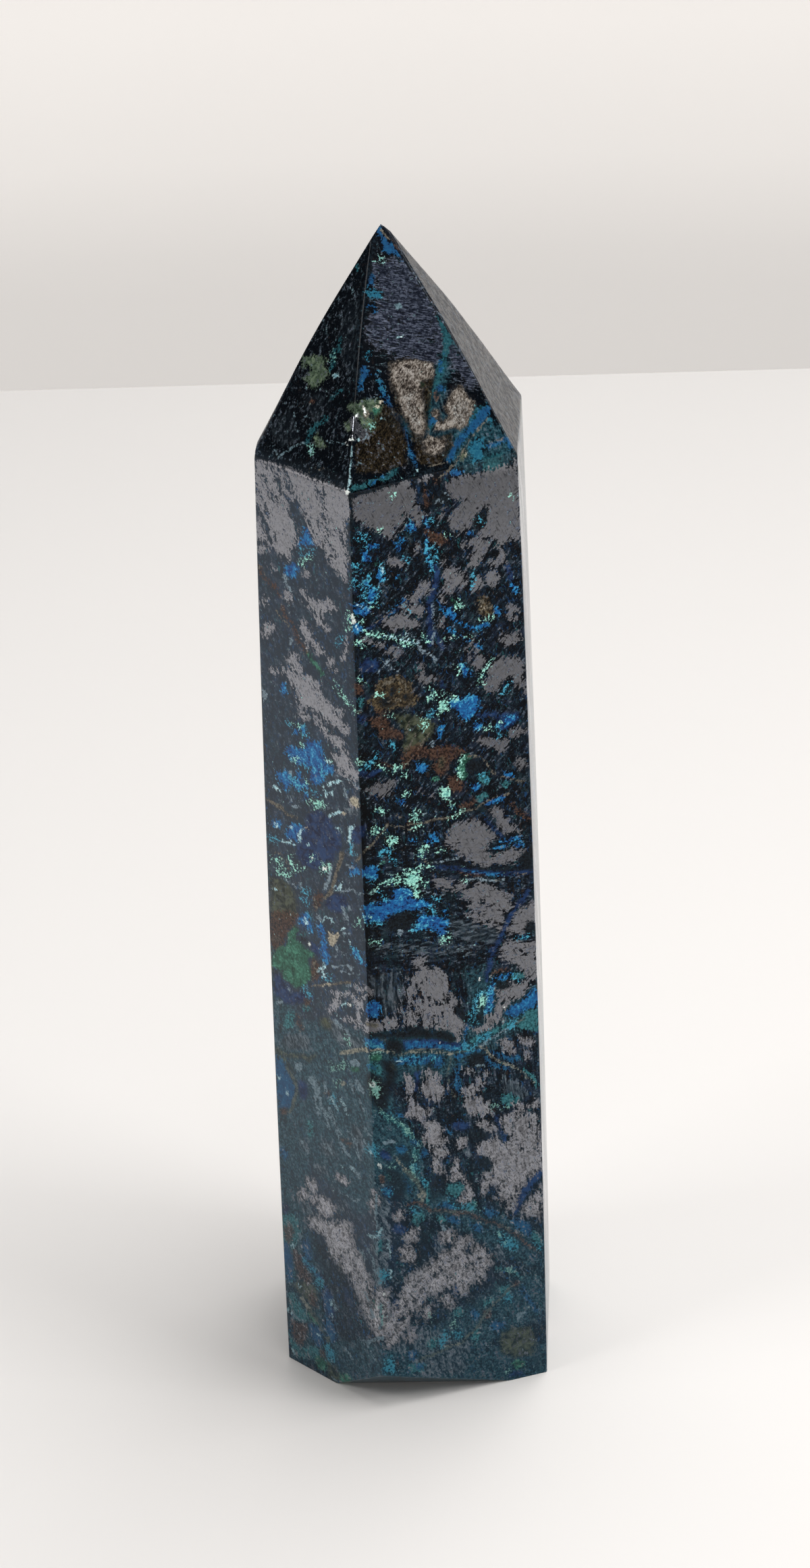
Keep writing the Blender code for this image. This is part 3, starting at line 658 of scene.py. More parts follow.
patch("azure", 715,1795, 724,1789, 733,1792, 738,1800, 730,1805, 718,1802)
patch("azure", 758,1810, 770,1807, 782,1812, 788,1822, 786,1834, 776,1828, 766,1820)
patch("teal", 785,1828, 792,1824, 800,1835, 803,1848, 795,1844, 788,1838)
patch("cyan", 790,1842, 797,1846, 803,1850, 803,1857, 795,1855)
patch("dark", 785,1803, 797,1800, 803,1808, 802,1826, 793,1820, 784,1812)
patch("teal", 646,1804, 654,1803, 662,1810, 658,1815, 650,1812)
patch("azure", 661,1804, 672,1802, 681,1808, 678,1814, 664,1811)
patch("azure", 697,1816, 706,1814, 716,1820, 714,1828, 703,1826)
patch("cyan", 737,1826, 745,1828, 755,1835, 765,1843, 768,1850, 760,1853, 750,1849, 742,1838)
streak("azure", 4, 748,1836, 760,1847)
streak("mint", 1.8, 738,1827, 745,1834, 750,1840)
patch("cyan", 611,1790, 617,1789, 621,1795, 617,1799, 612,1796)
patch("teal", 612,1798, 624,1796, 628,1806, 618,1820, 612,1814)
patch("grey", 655,1828, 663,1825, 672,1828, 674,1837, 668,1843, 658,1840)
patch("grey", 630,1880, 640,1870, 650,1862, 658,1855, 672,1850, 680,1842, 685,1835, 692,1833, 698,1840, 690,1845, 682,1853, 690,1860, 700,1862, 712,1848, 718,1855, 720,1865, 730,1862, 728,1872, 715,1880, 700,1888, 670,1890, 648,1890)
patch("grey", 594,1853, 603,1849, 612,1853, 615,1863, 609,1871, 600,1868)
patch("grey", 600,1835, 604,1827, 612,1822, 618,1824, 616,1836, 607,1841)
patch("grey", 699,1850, 706,1847, 713,1850, 712,1860, 703,1861)
patch("veil", 731,1846, 742,1846, 748,1860, 740,1868, 732,1860)
patch("veil", 650,1840, 680,1846, 660,1860, 640,1862)
streak("dark", 13, 621,1818, 630,1835, 633,1852, 628,1868, 623,1885)
streak("steel", 4, 656,1818, 660,1822)
patch("grey", 586,1800, 596,1797, 597,1806, 588,1808)
patch("navy", 584,1818, 600,1815, 604,1824, 594,1830, 583,1826)
carve("grey", 3, 655,1870, 668,1864, 678,1862)
carve("grey", 3, 690,1876, 705,1870, 712,1866)
# ---- front face (y 1870-2050)
patch("grey", 620,1912, 624,1900, 628,1888, 633,1876, 642,1868, 655,1871, 668,1867, 680,1869, 690,1876, 700,1875, 712,1870, 725,1862, 728,1868, 718,1880, 713,1892, 718,1898, 708,1900, 702,1890, 692,1885, 698,1895, 692,1905, 690,1915, 683,1918, 680,1905, 672,1900, 668,1908, 658,1904, 648,1912, 640,1915, 632,1910, 626,1915)
carve("grey", 3, 640,1890, 655,1886, 668,1892)
carve("grey", 3, 700,1880, 706,1888, 700,1895)
patch("navy", 674,1900, 680,1902, 683,1910, 681,1919, 675,1921, 670,1914, 670,1904)
patch("grey", 650,1922, 660,1919, 668,1925, 670,1933, 665,1938, 660,1932, 652,1926)
streak("veil", 7, 622,1918, 638,1920, 650,1924)
patch("grey", 613,1927, 621,1921, 626,1928, 620,1940, 615,1940)
patch("grey", 629,1942, 635,1937, 637,1945, 631,1953, 627,1951)
patch("grey", 564,1918, 570,1918, 576,1928, 577,1938, 571,1937, 566,1928)
# Painted highlight: a bright line down the front edge here.
streak("mint", 2, 565,1936, 566,1950, 565,1962)
patch("grey", 568,1962, 580,1962, 590,1961, 588,1970, 578,1976, 569,1974)
patch("grey", 604,1985, 608,1976, 612,1972, 613,1980, 609,1988)
patch("veil", 588,1988, 598,1982, 600,1990, 592,1994)
patch("cyan", 580,1886, 564,1884, 562,1894, 567,1900, 574,1897)
streak("tan", 4, 623,2015, 633,2010, 647,2005, 660,2000, 670,1994, 680,1992, 687,1986, 693,1980, 700,1975)
streak("cream", 2, 660,1994, 672,1992, 680,1993)
streak("tan", 3, 700,1975, 712,1962, 716,1952, 724,1941, 735,1931, 750,1915, 762,1903)
patch("rust", 717,1943, 724,1939, 728,1943, 727,1952, 720,1955, 716,1950)
patch("rust", 758,1901, 764,1897, 770,1900, 768,1907, 760,1908)
streak("rust", 5, 590,2018, 589,2028)
patch("cyan", 650,1990, 656,1982, 661,1976, 663,1984, 660,1993, 654,1997)
patch("cyan", 672,1982, 674,1974, 680,1972, 684,1976, 679,1982)
patch("teal", 699,1983, 702,1970, 708,1966, 712,1974, 710,1987, 703,1990)
patch("azure", 698,1945, 704,1941, 711,1946, 709,1956, 702,1956)
patch("teal", 715,1930, 720,1925, 729,1923, 734,1928, 726,1935, 718,1937)
patch("cyan", 746,1922, 752,1917, 758,1920, 756,1930, 749,1931)
patch("teal", 741,1908, 750,1904, 758,1908, 756,1916, 746,1919, 741,1914)
patch("steel", 764,1948, 770,1942, 777,1944, 774,1953, 768,1958)
patch("azure", 727,1962, 738,1957, 750,1960, 748,1969, 736,1972, 728,1968)
streak("steel", 2, 725,1966, 729,1968)
patch("azure", 771,1908, 776,1905, 779,1912, 777,1920, 772,1918)
streak("azure", 6, 780,1922, 788,1932, 795,1942)
patch("cyan", 568,2028, 574,2022, 581,2019, 583,2028, 576,2035, 569,2034)
patch("teal", 606,2024, 618,2018, 630,2023, 626,2033, 612,2035)
patch("azure", 616,2022, 626,2021, 628,2028, 618,2029)
patch("azure", 605,2005, 612,2000, 621,2006, 616,2014, 607,2013)
patch("teal", 632,1994, 642,1984, 651,1986, 648,1998, 638,2001)
streak("mint", 2.6, 672,1960, 676,1968)
streak("mint", 2.2, 638,1950, 640,1953)
streak("mint", 2.2, 753,1883, 757,1887)
patch("teal", 670,1944, 680,1938, 690,1942, 684,1950, 674,1952)
patch("green", 757,2021, 766,2016, 777,2018, 776,2027, 764,2029)
patch("navy", 752,2036, 762,2032, 774,2033, 776,2039, 764,2042, 753,2041)
streak("mint", 2, 751,2034, 754,2033)
patch("veil", 612,2012, 680,2004, 690,2018, 688,2036, 640,2038, 612,2036)
patch("olive", 742,1975, 760,1968, 788,1968, 794,1990, 790,2008, 762,2014, 742,2004)
streak("dark", 8, 790,1950, 797,1985, 796,2030)
patch("dark", 724,1880, 736,1870, 742,1890, 728,1912, 712,1908, 716,1896)
patch("dark", 640,1950, 660,1944, 668,1958, 658,1974, 640,1970)
patch("dark", 690,1925, 706,1916, 712,1932, 698,1942, 688,1936)
patch("navy", 583,1925, 596,1922, 600,1940, 594,1956, 584,1950)
streak("teal", 5, 735,1880, 760,1884, 770,1892)
# ---- left face (y 1120-1365)
patch("azure", 419,1118, 476,1118, 479,1129, 485,1134, 493,1134, 496,1143, 488,1147, 481,1146, 478,1153, 478,1161, 470,1163, 464,1164, 461,1156, 459,1149, 460,1141, 454,1137, 450,1133, 438,1134, 433,1126)
patch("azure", 411,1143, 427,1143, 430,1149, 432,1154, 441,1154, 443,1144, 446,1149, 444,1154, 450,1157, 458,1163, 457,1169, 450,1170, 439,1169, 436,1163, 430,1161, 427,1166, 426,1173, 420,1171, 418,1163, 413,1154)
streak("cyan", 4, 429,1154, 437,1157, 443,1166, 450,1167, 456,1162)
patch("mint", 433,1122, 437,1121, 442,1126, 438,1131, 435,1129)
streak("cyan", 2.6, 441,1127, 446,1131, 450,1130)
streak("cyan", 2.6, 454,1137, 462,1139)
streak("mint", 2.2, 454,1163, 456,1159, 458,1163)
streak("steel", 3, 429,1144, 434,1148)
streak("cyan", 2.4, 476,1133, 477,1148)
patch("ice", 483,1165, 489,1160, 497,1158, 505,1156, 508,1158, 502,1162, 494,1163, 487,1167)
streak("ice", 2.2, 477,1167, 479,1173, 481,1180)
streak("ice", 2, 481,1176, 487,1176, 493,1173, 493,1179)
patch("mint", 455,1187, 460,1184, 465,1186, 472,1185, 478,1188, 481,1195, 476,1198, 470,1198, 465,1195, 463,1190)
streak("cyan", 3, 460,1174, 466,1176, 470,1182)
streak("azure", 3, 452,1178, 455,1184)
patch("ice", 486,1210, 489,1207, 496,1205, 503,1201, 508,1201, 507,1204, 498,1208, 491,1211, 488,1213)
streak("cream", 4, 510,1204, 512,1205)
patch("ice", 497,1227, 502,1226, 507,1231, 506,1234, 500,1230)
streak("tan", 3.6, 396,1184, 407,1192, 418,1199, 427,1208, 440,1212)
streak("ice", 3, 407,1166, 415,1172)
streak("steel", 2, 431,1180, 431,1188)
streak("steel", 3, 435,1195, 442,1196)
patch("steel", 482,1192, 488,1196, 492,1198, 486,1199)
patch("navy", 453,1206, 470,1201, 479,1204, 491,1217, 497,1229, 504,1234, 504,1257, 496,1269, 491,1277, 476,1281, 467,1291, 456,1287, 447,1281, 440,1269, 440,1257, 447,1249, 439,1246, 427,1243, 424,1237, 427,1226, 431,1221, 450,1226, 454,1219)
patch("azure", 431,1221, 444,1222, 450,1226, 444,1236, 441,1246, 432,1244, 424,1238, 427,1228)
streak("ice", 3, 448,1229, 444,1234, 443,1239, 445,1246)
streak("cream", 3, 454,1225, 456,1229)
streak("ice", 2.6, 419,1247, 431,1249, 437,1254)
streak("ice", 2, 431,1247, 429,1243)
streak("ice", 2.4, 408,1219, 411,1226)
patch("azure", 404,1218, 410,1216, 418,1218, 416,1225, 406,1226)
streak("cyan", 1.8, 397,1239, 404,1242, 411,1246)
streak("ice", 3, 430,1226, 433,1226)
streak("ice", 3, 456,1251, 458,1252)
patch("mint", 459,1274, 461,1270, 465,1269, 467,1272, 466,1277, 461,1277)
streak("white", 3, 462,1273, 464,1272)
patch("mint", 473,1285, 477,1282, 484,1282, 487,1286, 483,1291, 477,1292, 473,1289)
streak("white", 4, 477,1287, 482,1286)
streak("tan", 2, 407,1265, 411,1263, 414,1266)
patch("mint", 404,1269, 407,1271, 412,1272, 415,1276, 413,1280, 409,1279, 406,1275)
streak("mint", 2.4, 412,1279, 417,1286, 420,1289)
streak("tan", 1.8, 417,1269, 414,1276)
streak("tan", 1.8, 422,1278, 424,1275, 427,1277, 427,1283, 425,1289, 431,1291)
streak("mint", 2.2, 429,1269, 433,1279, 438,1284, 440,1290)
streak("mint", 2.6, 411,1294, 420,1296, 427,1296, 433,1291, 446,1290)
streak("steel", 1.8, 420,1302, 430,1308, 439,1316)
streak("ice", 3, 403,1316, 408,1318)
patch("veil", 400,1318, 412,1316, 414,1328, 405,1336, 399,1330)
streak("tan", 5.5, 504,1264, 506,1270, 503,1277, 499,1289, 496,1303, 493,1313, 489,1324, 482,1331)
streak("steel", 5, 490,1284, 487,1299, 480,1318)
streak("ice", 2.2, 495,1314, 498,1311)
streak("ice", 2, 495,1320, 501,1318)
streak("ice", 2.2, 506,1308, 504,1316)
streak("steel", 3, 499,1319, 521,1319, 530,1324, 546,1326, 560,1319)
patch("navy", 487,1330, 498,1322, 512,1326, 514,1342, 504,1352, 490,1350, 480,1342)
streak("cyan", 3, 450,1320, 457,1323)
streak("cyan", 3, 449,1333, 457,1340)
streak("steel", 2.4, 442,1310, 448,1318)
patch("teal", 446,1356, 452,1350, 459,1356, 460,1366, 450,1366)
patch("rust", 462,1330, 472,1322, 480,1330, 474,1346, 464,1350, 460,1340)
streak("tan", 2.2, 462,1334, 470,1338, 466,1348)
patch("olive", 400,1300, 422,1304, 436,1320, 440,1340, 436,1362, 404,1362, 400,1330)
streak("steel", 4, 506,1344, 510,1352, 514,1361)
streak("steel", 3, 516,1345, 518,1348)
streak("ice", 4.5, 522,1224, 519,1230, 518,1238, 516,1246)
streak("ice", 3, 516,1228, 521,1228)
streak("steel", 3.6, 522,1250, 524,1255, 521,1264, 517,1268)
streak("steel", 3, 514,1283, 524,1287)
patch("grey", 492,1116, 512,1118, 522,1132, 530,1143, 533,1152, 528,1159, 520,1155, 512,1146, 505,1138, 498,1130)
streak("steel", 2, 500,1148, 514,1155, 527,1163, 537,1175)
streak("steel", 1.8, 506,1160, 512,1176, 515,1188)
patch("cream", 518,1184, 524,1182, 530,1185, 535,1195, 528,1196, 522,1190)
streak("ice", 2, 484,1126, 489,1129)
patch("veil", 508,1196, 530,1196, 532,1204, 510,1206)
streak("grey", 2.4, 506,1140, 520,1158, 530,1170)
streak("grey", 2, 500,1140, 510,1150)
# ---- left face (y 1350-1595)
patch("rust", 402,1352, 425,1350, 440,1356, 436,1372, 424,1382, 420,1398, 408,1408, 402,1400)
patch("azure", 445,1356, 451,1353, 456,1356, 459,1363, 461,1371, 461,1381, 458,1376, 454,1373, 449,1369, 444,1366, 442,1360)
streak("ice", 4, 451,1361, 454,1368)
patch("teal", 404,1391, 410,1388, 416,1391, 414,1396, 406,1396)
patch("green", 436,1371, 432,1377, 426,1381, 425,1391, 421,1399, 414,1403, 409,1410, 405,1417, 404,1424, 405,1431, 411,1434, 419,1439, 422,1447, 425,1453, 432,1459, 441,1464, 449,1463, 454,1456, 459,1450, 461,1443, 459,1436, 455,1430, 454,1424, 455,1419, 464,1423, 464,1414, 459,1410, 454,1409, 449,1403, 445,1397, 442,1397, 438,1390, 439,1384, 442,1379, 438,1373)
patch("teal", 445,1384, 450,1382, 454,1386, 451,1391, 446,1390)
patch("dark", 444,1391, 450,1390, 455,1397, 453,1401, 447,1398)
streak("white", 3, 456,1399, 458,1400)
patch("navy", 459,1396, 466,1397, 474,1404, 475,1413, 471,1416, 465,1413, 461,1406)
patch("azure", 472,1371, 478,1371, 481,1383, 481,1393, 485,1403, 486,1414, 485,1426, 482,1430, 481,1424, 476,1417, 476,1407, 474,1393, 471,1381)
streak("ice", 3, 479,1427, 481,1434)
streak("ice", 3.5, 474,1434, 473,1440)
streak("ice", 2.6, 478,1441, 481,1447)
patch("cyan", 481,1447, 486,1446, 489,1450, 486,1453, 482,1452)
patch("rust", 461,1421, 470,1424, 476,1434, 472,1450, 464,1452, 460,1436)
streak("tan", 2, 468,1424, 464,1430, 468,1437, 466,1448)
patch("steel", 467,1356, 475,1358, 478,1364, 470,1365)
streak("ice", 2, 478,1367, 483,1359, 490,1362, 492,1368)
patch("cream", 486,1379, 489,1381, 494,1384, 501,1381, 499,1391, 496,1399, 492,1403, 488,1397, 486,1391, 488,1387)
streak("steel", 2, 496,1403, 499,1410, 495,1419)
streak("ice", 1.8, 504,1379, 509,1374)
streak("steel", 2, 506,1384, 516,1383)
streak("steel", 2, 507,1395, 516,1396)
streak("ice", 2.4, 516,1394, 518,1400)
streak("steel", 2, 492,1434, 501,1432)
streak("steel", 3.6, 508,1431, 512,1430, 518,1433, 521,1436)
streak("steel", 2, 506,1439, 521,1444, 524,1443)
streak("steel", 2, 503,1412, 512,1416)
streak("tan", 3, 461,1460, 478,1460, 485,1460, 495,1458, 506,1456, 519,1457)
streak("cream", 3, 481,1461, 488,1459)
streak("steel", 4, 514,1461, 518,1461)
patch("navy", 406,1444, 414,1443, 419,1449, 422,1456, 428,1463, 435,1470, 444,1471, 452,1471, 456,1476, 452,1480, 451,1486, 438,1487, 422,1489, 418,1481, 408,1477, 406,1464)
streak("steel", 1.8, 425,1463, 432,1470)
streak("cyan", 4, 449,1464, 459,1476)
patch("steel", 411,1482, 419,1484, 418,1491, 411,1490)
patch("rust", 452,1480, 460,1481, 459,1489, 453,1490)
patch("teal", 451,1490, 458,1489, 460,1497, 456,1501, 451,1498)
patch("teal", 425,1504, 432,1499, 436,1503, 434,1511, 432,1523, 425,1524, 421,1517, 422,1509)
streak("rust", 3.5, 438,1504, 441,1514, 445,1524, 448,1527)
patch("olive", 476,1508, 486,1508, 492,1516, 492,1527, 480,1526, 474,1516)
patch("grey", 492,1470, 501,1469, 503,1476, 502,1484, 499,1494, 494,1499, 489,1500, 488,1494, 492,1486, 493,1477)
streak("grey", 2.5, 501,1471, 511,1474, 520,1474, 526,1478)
patch("grey", 523,1478, 534,1478, 538,1487, 538,1493, 534,1497, 538,1501, 538,1508, 534,1514, 532,1523, 528,1523, 522,1517, 516,1514, 511,1514, 509,1511, 514,1509, 522,1508, 528,1503, 532,1498, 531,1490, 526,1484)
streak("ice", 1.8, 505,1492, 513,1484)
streak("white", 1.8, 515,1486, 519,1492)
streak("ice", 2, 500,1505, 504,1511)
patch("grey", 527,1463, 540,1464, 552,1467, 552,1476, 545,1480, 538,1478, 545,1472, 530,1468)
streak("steel", 3, 497,1512, 508,1526, 520,1536)
patch("veil", 490,1512, 505,1520, 520,1534, 540,1548, 530,1556, 505,1548, 492,1532)
streak("mint", 2, 512,1539, 518,1546)
streak("cream", 5, 505,1560, 520,1557, 530,1556, 541,1557)
patch("mint", 488,1574, 492,1579, 499,1581, 506,1577, 511,1573, 512,1579, 511,1584, 501,1586, 492,1586, 489,1581)
patch("steel", 518,1571, 526,1569, 535,1573, 532,1579, 521,1579)
patch("green", 519,1581, 528,1580, 534,1585, 530,1589, 521,1587)
streak("olive", 5, 411,1557, 422,1563, 432,1564, 446,1566, 456,1570, 466,1566)
streak("olive", 3.5, 411,1557, 418,1567, 425,1579, 432,1590)
patch("steel", 437,1574, 446,1576, 449,1586, 444,1591, 437,1584)
patch("veil", 418,1536, 440,1534, 460,1540, 458,1556, 430,1556, 418,1548)
patch("olive", 401,1404, 404,1420, 404,1440, 401,1440)
# ---- left face (y 1560-1825)
patch("azure", 409,1564, 414,1568, 420,1576, 426,1588, 432,1599, 436,1609, 436,1620, 434,1630, 431,1640, 421,1643, 412,1641, 411,1623, 409,1590)
patch("navy", 412,1580, 420,1584, 428,1600, 430,1616, 425,1632, 416,1634, 413,1610)
streak("tan", 3.5, 424,1583, 431,1593, 436,1601, 439,1613, 436,1627, 434,1640, 431,1647)
patch("rust", 415,1643, 426,1643, 427,1650, 416,1651)
streak("ice", 2.4, 412,1596, 414,1598)
streak("ice", 2.4, 425,1620, 426,1623)
patch("navy", 443,1601, 452,1603, 456,1618, 452,1631, 444,1626, 441,1612)
streak("steel", 8, 461,1601, 466,1609, 472,1626)
streak("steel", 1.8, 471,1603, 478,1640, 485,1671)
streak("steel", 1.8, 478,1601, 488,1627)
streak("steel", 2, 475,1634, 488,1657)
streak("ice", 2.5, 491,1626, 499,1644)
streak("ice", 2.5, 504,1629, 511,1639)
streak("ice", 2.2, 511,1643, 515,1653)
streak("steel", 2, 522,1609, 524,1621)
streak("steel", 2, 494,1660, 499,1677, 504,1694, 508,1709)
streak("steel", 2, 484,1660, 488,1673)
streak("steel", 6, 528,1603, 536,1618)
patch("mint", 498,1603, 504,1602, 505,1608, 500,1609)
patch("cream", 505,1604, 512,1604, 512,1609, 506,1609)
streak("rust", 5, 486,1618, 487,1623)
patch("cyan", 491,1624, 496,1625, 499,1636, 498,1644, 493,1636)
streak("teal", 6, 459,1664, 461,1674, 459,1683)
patch("azure", 416,1703, 421,1703, 426,1709, 428,1716, 422,1719, 416,1713)
patch("veil", 443,1690, 452,1690, 456,1706, 448,1708)
patch("veil", 476,1690, 490,1692, 498,1712, 486,1714, 478,1704)
patch("veil", 522,1666, 532,1670, 539,1700, 536,1716, 526,1700)
patch("cyan", 542,1701, 551,1697, 558,1701, 560,1709, 558,1716, 551,1711, 546,1706)
streak("ice", 1.8, 547,1705, 552,1711)
streak("rust", 3, 506,1689, 514,1694, 519,1699)
patch("grey", 499,1741, 506,1743, 512,1749, 516,1754, 509,1754, 502,1750)
patch("grey", 455,1747, 462,1749, 469,1757, 465,1766, 459,1761, 455,1753)
patch("veil", 466,1728, 478,1729, 485,1740, 476,1742)
patch("grey", 444,1766, 450,1764, 456,1770, 453,1777, 446,1776)
patch("grey", 462,1774, 468,1773, 474,1780, 470,1784, 464,1781)
patch("grey", 475,1774, 485,1780, 494,1790, 494,1797, 485,1803, 476,1800, 471,1794)
streak("veil", 12, 451,1786, 465,1803, 471,1814, 485,1823)
patch("veil", 502,1785, 510,1784, 512,1793, 505,1795)
streak("steel", 5, 521,1729, 528,1737, 534,1746)
streak("ice", 1.6, 521,1729, 525,1734)
streak("steel", 2, 501,1767, 514,1773, 525,1778, 532,1778)
patch("grey", 555,1764, 559,1771, 565,1776, 562,1784, 558,1791, 554,1794, 552,1783, 554,1773)
patch("navy", 419,1785, 426,1784, 429,1794, 424,1800, 420,1796)
patch("teal", 426,1801, 436,1800, 444,1810, 442,1821, 430,1820, 425,1810)
streak("ice", 2, 507,1727, 509,1731)
streak("steel", 2, 558,1754, 574,1757)
patch("slant", 440,1570, 500,1560, 590,1570, 600,1700, 600,1860, 540,1900, 470,1830, 430,1740, 428,1650)
# ---- left face, foot (y 1805-2050)
patch("teal", 418,1800, 437,1800, 440,1812, 446,1826, 440,1840, 436,1850, 433,1866, 436,1884, 433,1900, 426,1902, 418,1880)
patch("azure", 419,1836, 428,1842, 433,1856, 434,1876, 433,1896, 425,1900, 419,1880)
patch("rust", 421,1817, 428,1816, 434,1820, 436,1828, 433,1838, 429,1843, 427,1838, 423,1830, 421,1824)
streak("ice", 2.6, 434,1844, 435,1850)
streak("steel", 3, 444,1830, 446,1836)
patch("azure", 447,1838, 455,1835, 460,1843, 461,1858, 462,1870, 458,1872, 452,1864, 448,1852)
patch("rust", 433,1851, 437,1850, 442,1858, 447,1868, 455,1880, 461,1890, 464,1900, 455,1902, 445,1897, 436,1875, 434,1862)
streak("azure", 6, 446,1862, 455,1875, 465,1885, 475,1895)
streak("cyan", 3, 450,1868, 458,1878, 466,1886)
patch("cyan", 466,1898, 474,1895, 479,1900, 477,1909, 470,1908)
patch("olive", 432,1902, 440,1898, 455,1900, 466,1905, 470,1925, 462,1935, 450,1925, 440,1915)
patch("rust", 455,1914, 462,1914, 468,1924, 470,1938, 463,1936, 457,1926)
streak("ice", 2, 441,1904, 444,1909)
streak("cream", 2.4, 453,1910, 457,1917)
streak("cream", 4.5, 447,1925, 453,1932, 457,1937)
streak("olive", 6, 455,1934, 460,1942, 465,1950, 470,1960)
streak("tan", 2.4, 457,1937, 463,1948, 468,1957, 473,1967, 477,1976)
streak("green", 5, 458,1946, 464,1956, 470,1966)
patch("teal", 428,1916, 436,1918, 445,1932, 455,1946, 458,1956, 450,1960, 438,1954, 430,1942)
streak("ice", 1.8, 426,1940, 432,1949)
streak("steel", 2.4, 433,1948, 450,1957)
patch("navy", 478,1912, 485,1912, 492,1925, 495,1945, 492,1955, 484,1950, 478,1935)
patch("azure", 480,1918, 487,1922, 491,1936, 490,1948, 484,1944, 480,1932)
streak("ice", 2.6, 489,1928, 492,1936)
streak("ice", 2.6, 489,1947, 491,1951)
streak("steel", 4, 494,1930, 497,1942)
patch("azure", 456,1964, 466,1964, 476,1974, 478,1990, 470,1998, 460,1984)
streak("ice", 2.4, 468,1978, 472,1982)
patch("rust", 433,1957, 452,1960, 455,1975, 450,1995, 440,1990, 434,1975)
patch("teal", 428,1975, 437,1985, 446,2000, 452,2014, 440,2011, 431,2003)
streak("ice", 2.4, 430,2000, 435,2007)
patch("teal", 446,1998, 462,1996, 478,2004, 480,2014, 464,2014, 450,2008)
patch("azure", 480,1950, 490,1958, 498,1972, 499,1988, 490,1990, 482,1976, 479,1962)
patch("cyan", 480,1995, 488,1993, 495,2003, 498,2012, 495,2019, 489,2018, 483,2008)
streak("ice", 1.8, 490,2012, 494,2018)
patch("tan", 481,1982, 487,1982, 488,1989, 483,1990)
patch("rust", 472,2003, 480,2003, 482,2012, 476,2015)
patch("green", 465,2012, 480,2012, 484,2025, 480,2033, 470,2028)
patch("olive", 482,2015, 500,2025, 503,2045, 495,2050, 485,2040)
patch("green", 503,2036, 512,2036, 519,2043, 518,2052, 505,2050)
streak("steel", 2, 492,2040, 498,2047)
patch("dark", 460,1825, 470,1826, 478,1835, 484,1850, 482,1875, 474,1880, 466,1868, 462,1850)
patch("grey", 458,1806, 470,1806, 480,1810, 492,1812, 505,1814, 518,1815, 519,1828, 521,1845, 515,1855, 510,1862, 519,1864, 530,1866, 533,1875, 537,1885, 545,1900, 548,1908, 542,1908, 534,1895, 525,1893, 515,1885, 505,1878, 499,1868, 493,1863, 488,1855, 492,1850, 487,1842, 482,1830, 472,1825, 464,1818)
carve("grey", 5, 505,1864, 510,1867)
carve("grey", 2.4, 520,1868, 523,1864, 528,1865, 528,1871, 523,1873, 520,1869)
carve("grey", 2.4, 529,1891, 534,1895)
patch("veil", 524,1902, 534,1908, 540,1925, 548,1935, 552,1955, 556,1970, 548,1965, 542,1945, 534,1930, 526,1918)
patch("steel", 555,1885, 562,1880, 568,1890, 570,1900, 564,1904)
patch("grey", 561,1915, 566,1912, 572,1916, 576,1928, 576,1945, 571,1952, 572,1966, 580,1965, 590,1958, 588,1968, 580,1975, 570,1975, 565,1968, 563,1950, 566,1935, 562,1925)
streak("white", 3, 569,1918, 570,1920)
streak("steel", 4, 564,1935, 565,1960, 563,1970)
patch("green", 552,1925, 557,1924, 559,1945, 558,1962, 553,1956)
streak("ice", 3.5, 545,1829, 554,1833, 560,1832, 563,1826, 566,1822)
patch("cyan", 555,1828, 564,1826, 562,1833, 556,1834)
patch("teal", 557,1840, 566,1838, 567,1850, 560,1858)
streak("ice", 2, 573,1842, 576,1851, 579,1862)
streak("ice", 2, 578,1882, 581,1895)
streak("steel", 2.4, 532,1850, 536,1860)
streak("steel", 2, 535,1985, 546,1999)
streak("steel", 2, 550,2005, 558,2017)
streak("steel", 5, 546,1990, 556,1982, 566,1983)
patch("cyan", 573,2018, 578,2010, 583,2014, 585,2025, 590,2030, 580,2036, 568,2033)
patch("rust", 586,2012, 592,2014, 592,2036, 588,2030)
patch("dark", 480,1880, 500,1875, 515,1890, 525,1905, 520,1930, 525,1950, 522,1990, 505,1985, 500,1960, 497,1930, 492,1905)
patch("navy", 584,1925, 592,1930, 592,1952, 585,1948)
patch("navy", 508,1905, 516,1915, 518,1930, 510,1930)
streak("steel", 2, 540,1840, 560,1890, 562,1900)
streak("steel", 2.4, 545,1856, 552,1872, 556,1886)
streak("steel", 2, 510,1995, 524,2018)
patch("grey", 519,1846, 530,1862, 540,1880, 550,1904, 560,1930, 566,1962, 572,1982, 560,1982, 546,1952, 532,1918, 518,1888, 506,1868)
carve("grey", 3, 524,1880, 536,1906, 546,1934)
carve("grey", 3, 540,1896, 552,1924, 558,1950)
patch("veil", 560,1760, 574,1756, 578,1820, 574,1900, 566,1930, 560,1900)
patch("grey", 604,1896, 630,1876, 644,1896, 626,1926, 604,1956, 588,1988, 574,1994, 578,1966, 590,1930)
carve("grey", 3, 622,1892, 606,1926, 590,1962)
carve("grey", 3, 636,1898, 618,1926, 602,1952)
patch("veil", 566,1975, 600,1960, 640,1975, 700,1990, 690,2010, 620,2005, 570,2000)
# ---- the point: left facet
patch("moss", 445,530, 457,529, 476,527, 484,532, 479,541, 486,550, 487,556, 476,566, 467,575, 460,574, 456,566, 450,561, 457,554, 462,545, 457,541, 447,544)
streak("teal", 4, 505,502, 504,510, 501,519)
streak("teal", 4, 495,519, 491,529, 493,537, 490,549)
streak("mint", 2, 493,522, 492,534)
patch("ice", 487,556, 492,554, 500,553, 502,557, 496,560)
streak("teal", 4.5, 483,617, 476,624, 466,631, 460,641, 451,655)
streak("steel", 2.4, 451,655, 440,661, 424,670, 414,677)
streak("veil", 5, 519,570, 501,580, 492,586, 490,592, 487,610)
streak("teal", 3, 507,578, 496,583, 491,590)
streak("steel", 2, 489,583, 494,586)
patch("mint", 455,667, 457,661, 462,661, 464,667, 460,673, 456,671)
streak("ice", 2.4, 459,664, 459,669)
